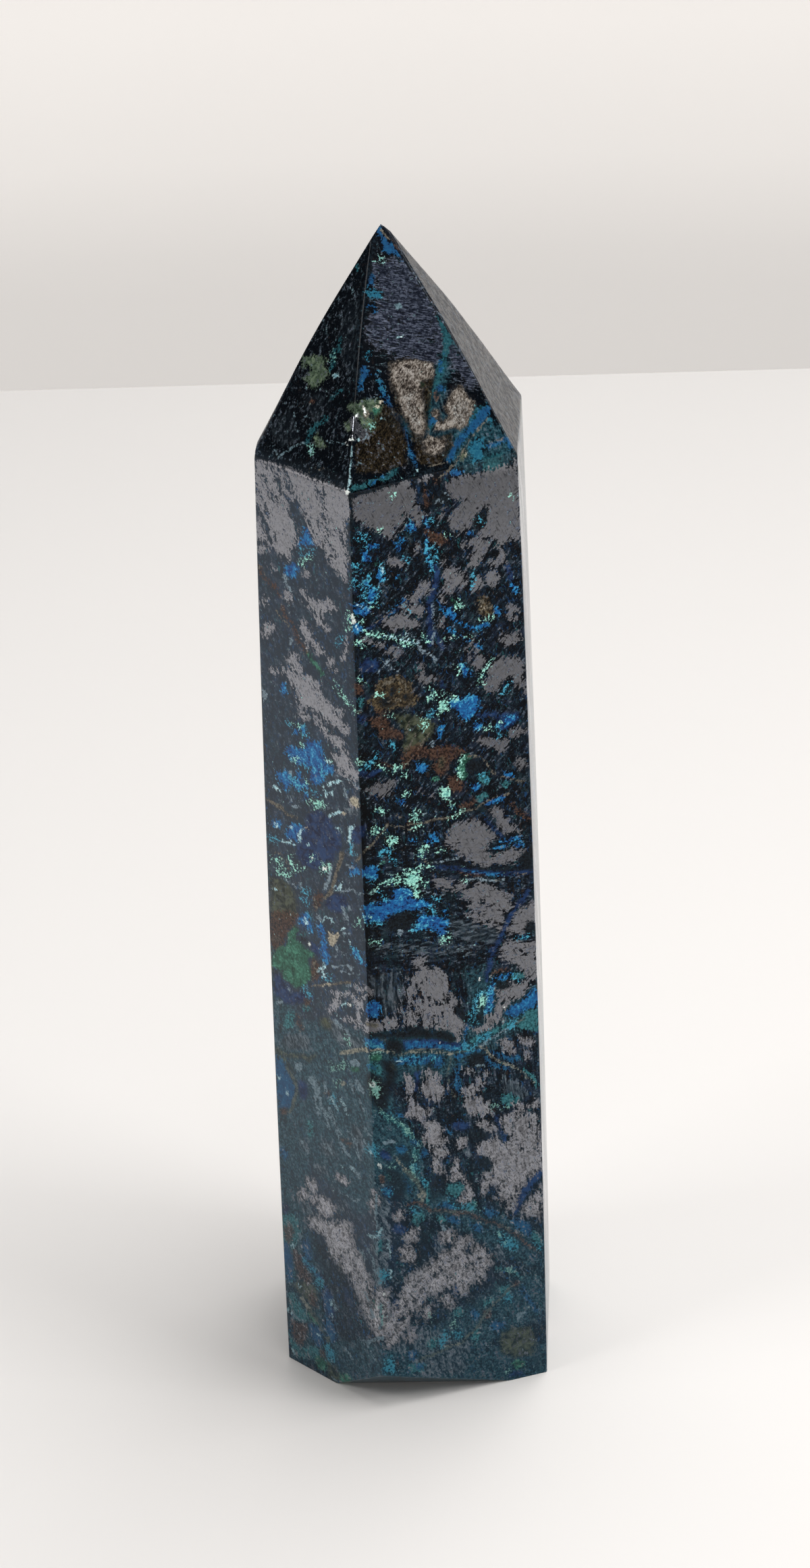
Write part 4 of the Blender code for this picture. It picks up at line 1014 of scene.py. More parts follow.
patch("moss", 464,647, 469,642, 472,650, 478,652, 485,660, 476,665, 467,661)
patch("steel", 450,617, 456,615, 461,620, 455,619)
streak("rust", 3, 460,594, 464,594)
streak("steel", 1.4, 432,609, 437,622, 444,639)
streak("steel", 1.4, 401,655, 412,675, 414,685)
streak("steel", 1.6, 484,655, 495,657, 511,659)
streak("white", 3, 512,659, 513,659)
# Painted highlight: the bright line and beads down the ridge between the left and front facets.
streak("white", 4, 519,652, 522,652)
streak("ice", 1.7, 521,662, 518,700, 516,728)
streak("white", 4.5, 516,729, 516,731)
streak("tan", 1.6, 456,692, 457,700)
streak("tan", 1.6, 466,691, 467,694)
streak("tan", 1.6, 473,696, 478,693)
patch("veil", 502,500, 531,498, 527,560, 506,548)
patch("veil", 450,585, 480,580, 486,600, 470,630, 452,612)
patch("veil", 395,640, 410,618, 430,600, 446,640, 440,656, 415,664)
streak("teal", 4, 529,394, 531,400)
streak("steel", 2, 522,428, 522,436)
patch("veil", 512,450, 533,446, 531,500, 500,502)
streak("dark", 6, 551,352, 549,380, 545,405, 541,425)
streak("dark", 5, 541,425, 538,449, 534,485, 531,525)
streak("dark", 4, 531,525, 527,570, 524,592)
# ---- the point: the pocket of small crystals across its front edge
patch("moss", 517,597, 531,597, 540,592, 560,592, 566,604, 566,614, 561,624, 558,634, 551,642, 540,640, 524,612, 517,607)
patch("moss", 511,622, 519,621, 521,635, 516,641, 512,632)
patch("grey", 521,622, 528,618, 534,632, 533,646, 522,650)
patch("grey", 536,640, 545,636, 546,650, 536,654)
patch("tan", 535,604, 537,598, 540,606, 545,610, 547,615, 544,621, 540,619, 536,611)
patch("cream", 536,603, 538,601, 541,608, 545,613, 543,618, 539,613)
patch("white", 536,604, 538,602, 541,609, 544,613, 542,616, 538,611)
patch("dark", 546,616, 547,610, 551,610, 554,616, 550,623, 546,622)
patch("green", 545,629, 551,626, 559,622, 557,631, 552,638, 547,636)
patch("mint", 548,629, 553,628, 556,626, 554,632, 550,634)
patch("green", 551,607, 556,602, 562,604, 565,610, 560,616, 554,614)
streak("cream", 3, 556,603, 559,605)
streak("cream", 2.4, 564,594, 561,601)
streak("white", 3, 528,615, 528,617)
streak("ice", 3, 562,619, 569,622)
streak("steel", 3, 544,589, 546,593)
streak("steel", 3, 554,589, 557,591)
patch("ice", 529,651, 534,651, 534,657, 530,656)
streak("steel", 2, 534,652, 545,651, 542,640, 543,635)
# ---- the point: front facet
patch("azure", 556,345, 558,338, 562,336, 566,347, 572,352, 580,361, 590,372, 598,377, 600,383, 596,384, 590,378, 578,376, 568,371, 565,358)
streak("tan", 3, 564,341, 570,348, 577,356)
streak("steel", 4, 570,338, 580,349, 590,361)
patch("mint", 559,386, 564,381, 570,387, 564,391)
streak("ice", 2.4, 562,386, 567,387)
patch("azure", 545,407, 549,404, 554,413, 552,421, 546,424, 543,415)
patch("cyan", 543,433, 550,426, 560,431, 567,437, 562,444, 550,440)
streak("teal", 3, 558,436, 566,438)
streak("azure", 2.4, 543,453, 556,453, 555,464)
# Metal whose bluish tint is a painted reflection of the room's light.
patch("blue_lit_metal", 554,392, 590,386, 606,392, 623,427, 645,462, 655,480, 655,510, 648,530, 640,538, 605,532, 585,530, 575,515, 572,490, 562,462, 564,446, 571,436, 558,424)
patch("blue_lit_metal", 548,470, 562,466, 572,492, 574,516, 560,514, 546,500)
patch("blue_lit_metal", 662,503, 686,533, 706,565, 702,574, 690,567, 675,547, 666,527)
patch("across", 540,380, 606,380, 650,462, 712,572, 706,600, 640,570, 580,570, 540,560)
patch("steel", 583,452, 590,447, 594,455, 588,460)
streak("ice", 2.2, 604,473, 609,474)
streak("ice", 2.4, 588,500, 597,497)
streak("white", 2, 594,499, 597,498)
streak("dark", 4, 598,482, 606,490)
streak("dark", 2.4, 574,494, 586,502)
patch("teal", 646,462, 652,470, 668,498, 672,508, 663,520, 660,530, 656,500)
patch("cyan", 541,525, 545,521, 549,526, 545,531, 542,530)
patch("azure", 532,543, 540,541, 549,554, 543,556, 538,566, 536,577, 530,577, 533,560)
streak("steel", 3, 556,549, 562,561)
streak("azure", 4, 557,551, 562,563, 566,581)
streak("azure", 5, 566,581, 572,597, 582,615, 596,633, 602,653, 610,673, 617,690)
patch("azure", 578,614, 588,612, 595,622, 590,628, 582,622)
streak("navy", 3, 569,586, 584,618, 600,646, 613,678)
streak("cyan", 2.4, 557,551, 565,576)
streak("ice", 4, 617,696, 618,697)
streak("dark", 3, 610,688, 614,691)
# Metal painted tan and bright where a warm lamp's reflection fell on it.
patch("warm_lit_metal", 584,541, 610,535, 638,541, 640,557, 622,561, 622,583, 624,605, 628,637, 630,643, 622,643, 612,637, 602,613, 596,599, 588,577, 580,561)
patch("warm_lit_metal", 672,583, 680,575, 690,587, 702,597, 700,613, 696,625, 680,631, 662,633, 644,637, 650,625, 658,627, 670,617, 662,603, 668,593)
# Painted highlights: bright glints on the tan metal.
patch("glint", 600,585, 616,582, 614,594, 600,594)
patch("glint", 596,598, 612,600, 620,622, 628,640, 616,640, 604,618)
patch("glint", 672,600, 690,592, 700,604, 696,622, 676,632, 650,636, 660,628, 674,616)
patch("warm_lit_metal", 642,609, 650,609, 650,617, 644,618)
patch("warm_lit_metal", 630,655, 640,650, 656,653, 654,664, 644,672, 632,668)
patch("umber", 540,640, 570,600, 592,612, 604,660, 600,690, 560,700, 528,700, 526,664)
patch("umber", 578,535, 612,528, 642,536, 640,600, 632,650, 668,640, 672,660, 650,690, 622,688, 606,640, 586,600, 574,560)
streak("teal", 10, 657,483, 662,515, 655,539, 648,555, 642,573)
streak("teal", 9, 642,573, 638,585, 637,605, 638,632)
streak("azure", 4, 656,528, 650,549)
patch("azure", 646,574, 654,571, 659,577, 654,582, 648,581)
patch("azure", 634,618, 644,616, 646,626, 638,632, 634,628)
streak("rust", 6, 646,583, 648,591)
patch("green", 620,569, 625,565, 629,572, 624,576)
patch("veil", 640,590, 664,588, 668,602, 656,610, 642,604)
patch("azure", 722,600, 728,608, 716,622, 704,634, 690,650, 680,662, 668,684, 662,684, 664,670, 676,652, 690,636, 702,620, 712,606)
patch("teal", 706,604, 722,598, 726,606, 712,618, 698,634, 690,640, 694,624)
streak("tan", 2.4, 722,617, 706,637, 696,653, 686,669, 676,685, 662,699, 648,713)
patch("olive", 686,664, 692,667, 691,678, 684,684, 680,678)
streak("cream", 2, 690,669, 688,678)
patch("cyan", 700,653, 714,648, 718,664, 713,683, 700,686, 694,666)
patch("azure", 706,654, 716,654, 717,668, 708,672)
patch("cyan", 723,622, 727,618, 730,624, 726,628)
streak("azure", 5, 722,662, 736,656, 746,650)
streak("tan", 2.2, 722,657, 738,653, 748,647)
streak("azure", 4, 748,652, 757,664)
patch("azure", 668,698, 676,694, 687,700, 680,706, 672,706)
patch("teal", 716,676, 744,672, 748,700, 730,708, 716,700)
streak("teal", 7, 518,726, 539,720, 551,713, 570,708, 588,696)
streak("azure", 3, 548,716, 566,707)
streak("dark", 5, 521,734, 560,724, 590,713, 620,704, 655,694, 664,690)
streak("tan", 1.6, 630,692, 650,688, 662,685)
streak("steel", 2, 528,690, 536,684)
streak("tan", 1.6, 548,688, 556,692)
streak("tan", 1.6, 566,684, 574,690)
# ---- the point: right facet
streak("dark", 1.3, 682,480, 690,488)
streak("dark", 1.3, 702,505, 710,514, 718,525)
streak("dark", 1.3, 728,540, 738,552)
streak("dark", 1.3, 745,556, 752,562)
streak("dark", 3, 519,735, 521,770, 521,800)
# ---- which way the grain of the stone runs
patch("slant", 372,660, 514,735, 520,900, 540,1300, 560,1600, 560,1560, 430,1600, 404,1300, 378,900)
patch("across", 540,1250, 790,1235, 800,1430, 552,1440)
patch("rise", 520,740, 780,720, 790,1200, 760,1240, 640,1230, 530,1180)
patch("rise", 690,1250, 800,1200, 800,1500, 700,1480)
# the teal that soaks the stone round its veins and towards the foot
patch("halo", 400,1520, 470,1512, 540,1530, 600,1530, 690,1526, 730,1496, 796,1462, 800,1506, 740,1545, 700,1572, 640,1604, 560,1606, 480,1600, 405,1610)
patch("halo", 420,1596, 560,1590, 578,1690, 574,1800, 530,1795, 452,1720)
patch("halo", 556,1600, 592,1640, 626,1700, 634,1764, 604,1790, 572,1720)
patch("halo", 616,1756, 700,1784, 764,1812, 806,1846, 806,1880, 740,1862, 680,1818, 616,1796)
patch("halo", 590,1996, 680,1944, 760,1892, 806,1880, 808,1950, 720,1996, 620,2040)
patch("halo", 400,1450, 440,1500, 452,1640, 470,1860, 490,2020, 440,2020, 412,1800)
patch("halo", 690,1440, 730,1430, 745,1500, 700,1530)
patch("halo", 480,1985, 700,2000, 812,1990, 812,2080, 480,2070)
patch("halo", 556,620, 700,600, 760,650, 760,700, 690,700, 664,680)
patch("halo", 636,560, 668,480, 690,500, 660,560, 650,640, 632,640)
# ---- pale strokes beside the front edge, low down; those running down the edge itself are a painted highlight on its rounding
patch("veil", 548,1763, 569,1762, 569,1804, 562,1823, 552,1801)
streak("steel", 4, 558,1771, 558,1788, 558,1801)
streak("veil", 12, 560,1801, 561,1823, 560,1851, 561,1884, 562,1911)
streak("steel", 2.6, 557,1808, 558,1819)
streak("steel", 2.6, 559,1840, 560,1853)
streak("steel", 3, 560,1882, 562,1903)
patch("grey", 562,1914, 577,1917, 575,1929, 572,1944, 567,1944, 563,1930)
patch("veil", 564,1914, 583,1917, 580,1949, 569,1960, 561,1944)
patch("grey", 565,1960, 577,1958, 591,1963, 587,1971, 572,1975, 564,1971)
streak("steel", 2.6, 531,1851, 537,1862, 540,1867)
streak("steel", 2.2, 575,1840, 577,1856, 580,1873)
streak("steel", 2.4, 540,1914, 549,1933, 551,1955)
streak("steel", 2.6, 462,1601, 466,1613, 471,1624)
streak("steel", 2.6, 475,1637, 480,1653, 486,1670)
streak("steel", 2.6, 492,1662, 499,1672, 505,1682)
streak("steel", 2.6, 495,1624, 497,1634, 499,1643)
streak("steel", 2.6, 505,1631, 509,1640, 513,1648)
streak("steel", 2.6, 518,1601, 521,1611, 524,1621)
streak("steel", 2.6, 532,1629, 535,1637, 538,1646)
streak("steel", 2.6, 539,1692, 548,1703, 556,1714)
streak("steel", 2.6, 503,1692, 511,1703, 520,1714)
streak("steel", 2.6, 478,1694, 485,1700, 493,1709)
streak("steel", 2.6, 514,1675, 522,1683, 531,1692)
streak("steel", 2.6, 536,1669, 541,1676, 548,1684)
streak("steel", 2.6, 466,1626, 470,1640, 473,1651)
streak("steel", 2.6, 522,1689, 528,1703, 532,1714)
streak("steel", 2.6, 488,1642, 492,1656, 495,1667)
streak("steel", 2.6, 445,1692, 451,1703, 454,1710)


def to_line(px, py, line, closed):
    """Distance to a line of points and, if it is closed, whether inside it."""
    a = line
    b = np.roll(line, -1, axis=0) if closed else line[1:]
    a = a if closed else line[:-1]
    best = np.full(px.shape, 1e9)
    inside = np.zeros(px.shape, bool)
    for (x0, y0), (x1, y1) in zip(a, b):
        dx, dy = x1 - x0, y1 - y0
        t = np.clip(((px - x0) * dx + (py - y0) * dy) / max(dx * dx + dy * dy, 1e-9), 0, 1)
        best = np.minimum(best, np.hypot(px - x0 - t * dx, py - y0 - t * dy))
        if closed and y0 != y1:
            crosses = (y0 > py) != (y1 > py)
            inside ^= crosses & (px < x0 + (py - y0) / (y1 - y0) * dx)
    return best, inside


def fields_at(px, py):
    """The field of every kind at points of the layout grid."""
    found = {kind: np.full(px.shape, EMPTY) for kind in KINDS}
    for shape in ("patch", "streak", "carve"):
        for form, kind, width, line in marks:
            if form != shape:
                continue
            reach = 9.0 + width
            x0, y0 = line.min(axis=0) - reach
            x1, y1 = line.max(axis=0) + reach
            near = np.nonzero((px > x0) & (px < x1) & (py > y0) & (py < y1))[0]
            if not len(near):
                continue
            away, inside = to_line(px[near], py[near], line, form == "patch")
            if form == "patch":
                value = np.where(inside, away, -away)
            else:
                value = width / 2.0 - away
            if form == "carve":
                found[kind][near] = np.minimum(found[kind][near], -value)
            else:
                found[kind][near] = np.maximum(found[kind][near], value)
    return {kind: np.clip(f, EMPTY, 9.0) for kind, f in found.items()}


def lattice_noise(points, seed):
    """Smooth noise of about -1 to 1 with one bump for each unit of length."""
    table = np.random.default_rng(seed).uniform(-1.0, 1.0, (32, 32, 32))
    low = np.floor(points).astype(int)
    f = points - low
    f = f * f * (3.0 - 2.0 * f)
    total = np.zeros(len(points))
    for i in (0, 1):
        for j in (0, 1):
            for k in (0, 1):
                w = (
                    (f[:, 0] if i else 1 - f[:, 0])
                    * (f[:, 1] if j else 1 - f[:, 1])
                    * (f[:, 2] if k else 1 - f[:, 2])
                )
                total += w * table[(low[:, 0] + i) % 32, (low[:, 1] + j) % 32, (low[:, 2] + k) % 32]
    return total * 1.4


# -------------------------------------------------------------------- mesh
# The planes of the solid, before it is bellied and centred.
HEIGHT, SHOULDER = 95.0, 79.5
COLUMN_FACES = (
    (-192.2, 9.37, 0.008), (-133.1, 10.32, 0.003), (-71.8, 10.05, 0.009),
    (-3.6, 10.70, 0.019), (56.5, 10.38, 0.005), (112.0, 10.30, 0.010),
)
POINT_FACETS = (
    (-197.4, 27.65, 44.43), (-132.6, 30.08, 48.46), (-74.9, 30.85, 48.86),
    (-2.2, 31.28, 49.29), (56.4, 33.76, 52.45), (112.0, 32.00, 50.47),
)
FOOT_CUT = np.array(((-6.75, -7.92, 0.0), (7.40, -8.20, 0.0), (-2.85, -11.50, 3.4)))
BELLY, BELLY_HEIGHT, BELLY_HALF_LENGTH = 0.0248, 36.1, 42.75
POINT_SWELL, POINT_SWELL_POWER = 0.080, 1.9
CROWN = 0.10
TIP_START = 92.6
ROUND = 0.045

column = np.array([
    (math.cos(math.radians(a)), math.sin(math.radians(a)), lean, d) for a, d, lean in COLUMN_FACES
])
facets = np.array([
    (
        math.cos(math.radians(e)) * math.cos(math.radians(a)),
        math.cos(math.radians(e)) * math.sin(math.radians(a)),
        math.sin(math.radians(e)), d,
    )
    for a, e, d in POINT_FACETS
])
cut = np.cross(FOOT_CUT[1] - FOOT_CUT[0], FOOT_CUT[2] - FOOT_CUT[0])
cut /= np.linalg.norm(cut)
if cut[2] > 0:
    cut = -cut
cut_d = float(cut @ FOOT_CUT[0])


def meeting(p, q, r):
    m = np.array((p[:3], q[:3], r[:3]))
    return np.linalg.solve(m, np.array((p[3], q[3], r[3])))


# The tip is the highest point that lies inside all six facets.
tips = []
for i in range(6):
    for j in range(i + 1, 6):
        for k in range(j + 1, 6):
            try:
                point = meeting(facets[i], facets[j], facets[k])
            except np.linalg.LinAlgError:
                continue
            if (facets[:, :3] @ point <= facets[:, 3] + 1e-6).all():
                tips.append(point)
TIP = max(tips, key=lambda point: point[2])


def centre_at(z):
    """The line the mesh is spun about: upright, then bent over to the tip."""
    t = np.clip((z - 70.0) / (TIP[2] - 70.0), 0.0, 1.0)
    return TIP[0] * t, TIP[1] * t


def reach_to(planes, angle, z, cx, cy, k):
    """How far it is along an angle from the centre line to the nearest plane."""
    ux, uy = np.cos(angle), np.sin(angle)
    total = np.zeros(np.broadcast(angle, z).shape)
    least = np.full(total.shape, 1e9)
    runs = []
    for nx, ny, nz, d in planes:
        toward = nx * ux + ny * uy
        run = np.where(toward > 0.15, (d - nz * z - nx * cx - ny * cy) / np.maximum(toward, 0.15), 1e3)
        runs.append(run)
        least = np.minimum(least, run)
    if k <= 0.0:
        return least
    for run in runs:
        total += np.exp(-np.minimum((run - least) / k, 60.0))
    return least - k * np.log(total)


def shoulder_at(angle):
    """The height where the column gives way to the point in each direction."""
    low, high = np.full(angle.shape, 60.0), np.full(angle.shape, 92.0)
    for _ in range(40):
        z = (low + high) / 2.0
        cx, cy = centre_at(z)
        under = reach_to(column, angle, z, cx, cy, 0.0) < reach_to(facets, angle, z, cx, cy, 0.0)
        low, high = np.where(under, z, low), np.where(under, high, z)
    return (low + high) / 2.0


def foot_at(angle):
    """The height where the column begins: above 0 where its corner is cut."""
    low, high = np.zeros(angle.shape), np.full(angle.shape, 8.0)
    for _ in range(40):
        z = (low + high) / 2.0
        r = reach_to(column, angle, z, 0.0, 0.0, 0.0)
        outside = cut[0] * r * np.cos(angle) + cut[1] * r * np.sin(angle) + cut[2] * z > cut_d
        low, high = np.where(outside, z, low), np.where(outside, high, z)
    z = (low + high) / 2.0
    return np.where(z < 1e-6, 0.0, z)


def corner(i, z):
    """The corner of the flat-faced column between face i and the next one."""
    p, q = column[i], column[(i + 1) % 6]
    m = np.array(((p[0], p[1]), (q[0], q[1])))
    return np.linalg.solve(m, np.array((p[3] - p[2] * z, q[3] - q[2] * z)))


# Samples round the stone: the two front faces are dense, the others less so,
# and every edge has close neighbours that carry its rounding.
CLOSE = (0.05, 0.11, 0.19, 0.30)
WIDTHS = [float(np.linalg.norm(corner(i, 40.0) - corner((i - 1) % 6, 40.0))) for i in range(6)]
STEPS = (20, 62, 62, 24, 18, 18)
FRONT = (1, 2)
sides, fractions = [], []
for i in range(6):
    w = WIDTHS[i]
    close = [c / w for c in CLOSE]
    inner = np.linspace(CLOSE[-1] / w, 1.0 - CLOSE[-1] / w, STEPS[i] + 1)
    f = np.concatenate(([0.0], close[:-1], inner, [1.0 - c for c in reversed(close[:-1])]))
    sides += [i] * len(f)
    fractions += list(f)
sides, fractions = np.array(sides), np.array(fractions)
AROUND = len(sides)

COLUMN_ROWS, POINT_ROWS, CUT_ROWS = 418, 78, 4
column_t = np.concatenate((
    np.linspace(0.0, 1.0, COLUMN_ROWS - 6)[:-1],
    1.0 - np.array((0.30, 0.19, 0.11, 0.05)) / 79.0,
))
column_t = np.unique(np.concatenate((column_t, np.array((0.08, 0.2)) / 79.0)))
point_t = np.concatenate((np.array((0.0, 0.05, 0.11, 0.19)) / 18.0, np.linspace(0.30 / 18.0, 1.0, POINT_ROWS)))


def angles_at(z):
    """Sample directions for one row whose corners are at height z."""
    cx, cy = centre_at(z)
    corners = []
    for i in range(6):
        base = corner((i - 1) % 6, np.minimum(z, SHOULDER))
        if z > SHOULDER:
            t = (z - SHOULDER) / (TIP[2] - SHOULDER)
            base = base * (1 - t) + TIP[:2] * t
        corners.append(base)
    corners = np.array(corners)
    start, end = corners[sides], corners[(sides + 1) % 6]
    place = start * (1 - fractions[:, None]) + end * fractions[:, None]
    return np.unwrap(np.arctan2(place[:, 1] - cy, place[:, 0] - cx))


PLANES = np.concatenate((column, facets, np.array(((cut[0], cut[1], cut[2], cut_d),))))


def row_of(angle, z, k):
    cx, cy = centre_at(z)
    r = np.maximum(reach_to(PLANES, angle, z, cx, cy, k), 0.0)
    return np.stack((cx + r * np.cos(angle), cy + r * np.sin(angle), z), axis=1)


rows, heights = [], []
foot_angle = angles_at(0.0)
for t in (0.0, 0.3, 0.6, 0.85, 0.95):
    rows.append(row_of(foot_angle, foot_at(foot_angle) * t, ROUND))
    heights.append(0.0)
for t in column_t:
    angle = angles_at(float(t) * SHOULDER)
    low, high = foot_at(angle), shoulder_at(angle)
    rows.append(row_of(angle, low + (high - low) * t, ROUND))
    heights.append(float(t))
COLUMN_END = len(rows)
for t in point_t:
    angle = angles_at(min(SHOULDER + (TIP[2] - SHOULDER) * float(t), TIP[2] - 1e-3))
    low = shoulder_at(angle)
    rows.append(row_of(angle, low + (TIP[2] - low) * t, ROUND * min(1.0, (1.0 - t) * 6.0)))
    heights.append(1.0 + float(t))
rows[-1][:] = TIP
flat = np.array(rows)
heights = np.array(heights)
DOWN, ACROSS = flat.shape[0], flat.shape[1]


def finished(p):
    """The crown, belly, swell and drawn-up tip of the solid."""
    p = p.copy()
    normals = column[:, :3] / np.linalg.norm(column[:, :3], axis=1)[:, None]
    offsets = np.array([d * (nx * nx + ny * ny) for nx, ny, _, d in column]) / np.linalg.norm(column[:, :3], axis=1)
    depth = offsets[None, :] - p @ normals.T
    order = np.argsort(depth, axis=1)
    second = np.take_along_axis(depth, order[:, 1:2], axis=1)[:, 0]
    reach = np.clip(second / 3.5, 0.0, 1.0)
    fade = np.clip(np.minimum(p[:, 2] / 3.0, (SHOULDER - p[:, 2]) / 3.0), 0.0, 1.0)
    bulge = 0.97 * CROWN * (1.0 - (1.0 - reach) ** 2) * fade
    p += normals[order[:, 0]] * bulge[:, None]
    z = p[:, 2]
    out = 1.0 + BELLY * (1.0 - ((z - BELLY_HEIGHT) / BELLY_HALF_LENGTH) ** 2)
    t = np.clip((z - SHOULDER) / (HEIGHT - SHOULDER), 0.0, 1.0)
    u = t ** POINT_SWELL_POWER
    out *= 1.0 + POINT_SWELL * 4.0 * u * (1.0 - u)
    p[:, :2] *= out[:, None]
    t = np.clip((z - TIP_START) / (TIP[2] - TIP_START), 0.0, 1.0)
    p[:, 2] = z + (HEIGHT - TIP[2]) * t * t
    return p


solid = finished(flat.reshape(-1, 3)).reshape(flat.shape)

# ------------------------------------------------- markings over the mesh
# The two front faces take the markings where the layout grid puts them. The
# column that closes them belongs to the next face and is added at the end.
front_columns = np.nonzero(np.isin(sides, FRONT))[0]
front_columns = np.append(front_columns, front_columns[-1] + 1)
front = solid[:, front_columns]
points = front.reshape(-1, 3)
px, py = on_layout(points)
wander = [
    sum(a * lattice_noise(points * s, seed + i) for i, (a, s) in enumerate(((1.5, 0.9), (0.9, 2.1))))
    for seed in (40, 50)
]
px, py = px + wander[0], py + wander[1]
front_fields = fields_at(px, py)
front_fields = {k: v.reshape(front.shape[:2]) for k, v in front_fields.items()}
first_1 = np.nonzero(sides == 1)[0][0]
side_places = {}
for i in FRONT:
    cols = np.nonzero(sides == i)[0]
    f = np.append(fractions[cols], 1.0)
    side_places[i] = (f, np.append(cols, cols[-1] + 1) - first_1)


def borrowed(source, f, level_t):
    """Field values of a front face at other fractions and heights."""
    places, index = side_places[source]
    col = np.interp(np.clip(f, 0.0, 1.0), places, index)
    row = np.interp(level_t, heights[5:], np.arange(5, DOWN))
    c0 = np.minimum(np.floor(col).astype(int), front.shape[1] - 2)
    r0 = np.minimum(np.floor(row).astype(int), DOWN - 2)
    fc, fr = col - c0, row - r0
    out = {}
    for kind in KINDS:
        g = front_fields[kind]
        out[kind] = (
            g[r0, c0] * (1 - fc) * (1 - fr) + g[r0, c0 + 1] * fc * (1 - fr)
            + g[r0 + 1, c0] * (1 - fc) * fr + g[r0 + 1, c0 + 1] * fc * fr
        )
    return out


def folded(t):
    """Turns back at 0 and at 1 what would run past them."""
    t = np.mod(t, 2.0)
    return np.where(t > 1.0, 2.0 - t, t)


# Round the back the same pattern carries on, turned over at each edge, drawn up
# or down the stone, and blended where the two ways round meet.
CHAINS = {
    # side: (source face, mirrored?) going round to the right, then to the left
    3: ((2, True), None), 4: ((1, True), (2, False)), 5: ((1, False), (2, True)), 0: (None, (1, True)),
}
values = {kind: np.full(flat.shape[:2], EMPTY) for kind in KINDS}
for kind in KINDS:
    values[kind][:, front_columns] = front_fields[kind]
for i, chains in CHAINS.items():
    cols = np.nonzero(sides == i)[0]
    if i == 3:
        cols = cols[1:]
    f, t = np.meshgrid(fractions[cols], heights)
    here = solid[:, cols].reshape(-1, 3)
    f, t = f.ravel(), t.ravel()
    both = []
    for way, chain in enumerate(chains):
        if chain is None:
            both.append(None)
            continue
        # How far round this point is from the front faces, in faces.
        far = (f + (i - 3)) if way == 0 else (1.0 - f) + {0: 0, 5: 1, 4: 2}[i]
        ramp = np.clip(far, 0.0, 1.5)
        inside = np.clip(t, 0.0, 1.0)
        pull = (0.34 if way == 0 else -0.29) * ramp
        drift = 0.03 * ramp * lattice_noise(here * 0.16, 70 + way)
        side_drift = 0.10 * np.clip(far, 0, 1) * lattice_noise(here * 0.2, 80 + way)
        source, mirrored = chain
        g = 1.0 - f if mirrored else f
        g = g + side_drift * 4.0 * g * (1.0 - g)
        level_t = np.where(t <= 1.0, folded(inside + pull + drift), t)
        both.append(borrowed(source, g, level_t))
    if both[0] is None or both[1] is None:
        share = 0.0 if both[1] is None else 1.0
        mixed = both[0] if both[1] is None else both[1]
    else:
        if i == 4:
            share = 0.5 * np.clip((f - 0.4) / 0.6, 0.0, 1.0) ** 2
        else:
            share = 1.0 - 0.5 * np.clip((0.6 - f) / 0.6, 0.0, 1.0) ** 2
        mixed = {k: both[0][k] * (1 - share) + both[1][k] * share for k in KINDS}
    for kind in KINDS:
        values[kind][:, cols] = mixed[kind].reshape(len(heights), len(cols))
        if i == 3:  # the right facet of the point is plain
            values[kind][np.ix_(heights > 1.0, cols)] = EMPTY

# The right one of the two front faces is the darker one, with a weaker sheen, and
# the two facets above them are darker still: painted shade, standing in for the dark
# room they mirror. The left one is a little hazy: a painted reflection over its matrix.
values["painted_face_light"][:] = -9.0
values["painted_face_light"][:, sides == 1] = -3.0
values["painted_face_light"][:, sides == 2] = 9.0
values["painted_shade"][:] = -9.0
values["painted_shade"][np.ix_(heights > 1.0, np.isin(sides, FRONT))] = 9.0
# The middle of the long edge has a dim band of painted shade along its right side.
band = 1.6 - 30.0 * fractions[None, :] - 60.0 * np.maximum(np.abs(heights[:, None] - 0.55) - 0.17, 0.0)
values["painted_shade"] = np.where((sides == 2)[None, :] & (heights <= 1.0)[:, None], np.maximum(band, -9.0), values["painted_shade"])

# ------------------------------------------------------- faces of the mesh
# A hair slimmer than the solid, so that it stays inside it.
final = (solid - SHIFT).reshape(-1, 3) * np.array((0.9988, 0.9988, 0.99995)) * MM
dense = np.isin(sides, FRONT) | np.isin(np.roll(sides, 1), FRONT)
coarse_rows = list(range(0, DOWN, 2))
if coarse_rows[-1] != DOWN - 1:
    coarse_rows.append(DOWN - 1)
faces = []
TOP = DOWN - 1


def at(r, c):
    return TOP * ACROSS if r == TOP else r * ACROSS + c % ACROSS


for c in range(ACROSS):
    d = c + 1
    if sides[c] in FRONT:
        for r in range(DOWN - 1):
            faces.append((at(r, c), at(r, d), at(r + 1, d), at(r + 1, c)))
        continue
    for a, b in zip(coarse_rows, coarse_rows[1:]):
        ring = [at(a, c), at(a, d)]
        if b == a + 2 and dense[d % ACROSS]:
            ring.append(at(a + 1, d))
        ring += [at(b, d), at(b, c)]
        if b == a + 2 and dense[c]:
            ring.append(at(a + 1, c))
        faces.append(tuple(ring))
middle = len(final)
final = np.vstack((final, np.array(((0.0, -0.0005, 0.0),))))
for c in range(ACROSS):
    faces.append((middle, at(0, c + 1), at(0, c)))
packed = np.stack([np.append(values[k].ravel(), EMPTY) for k in KINDS], axis=1)

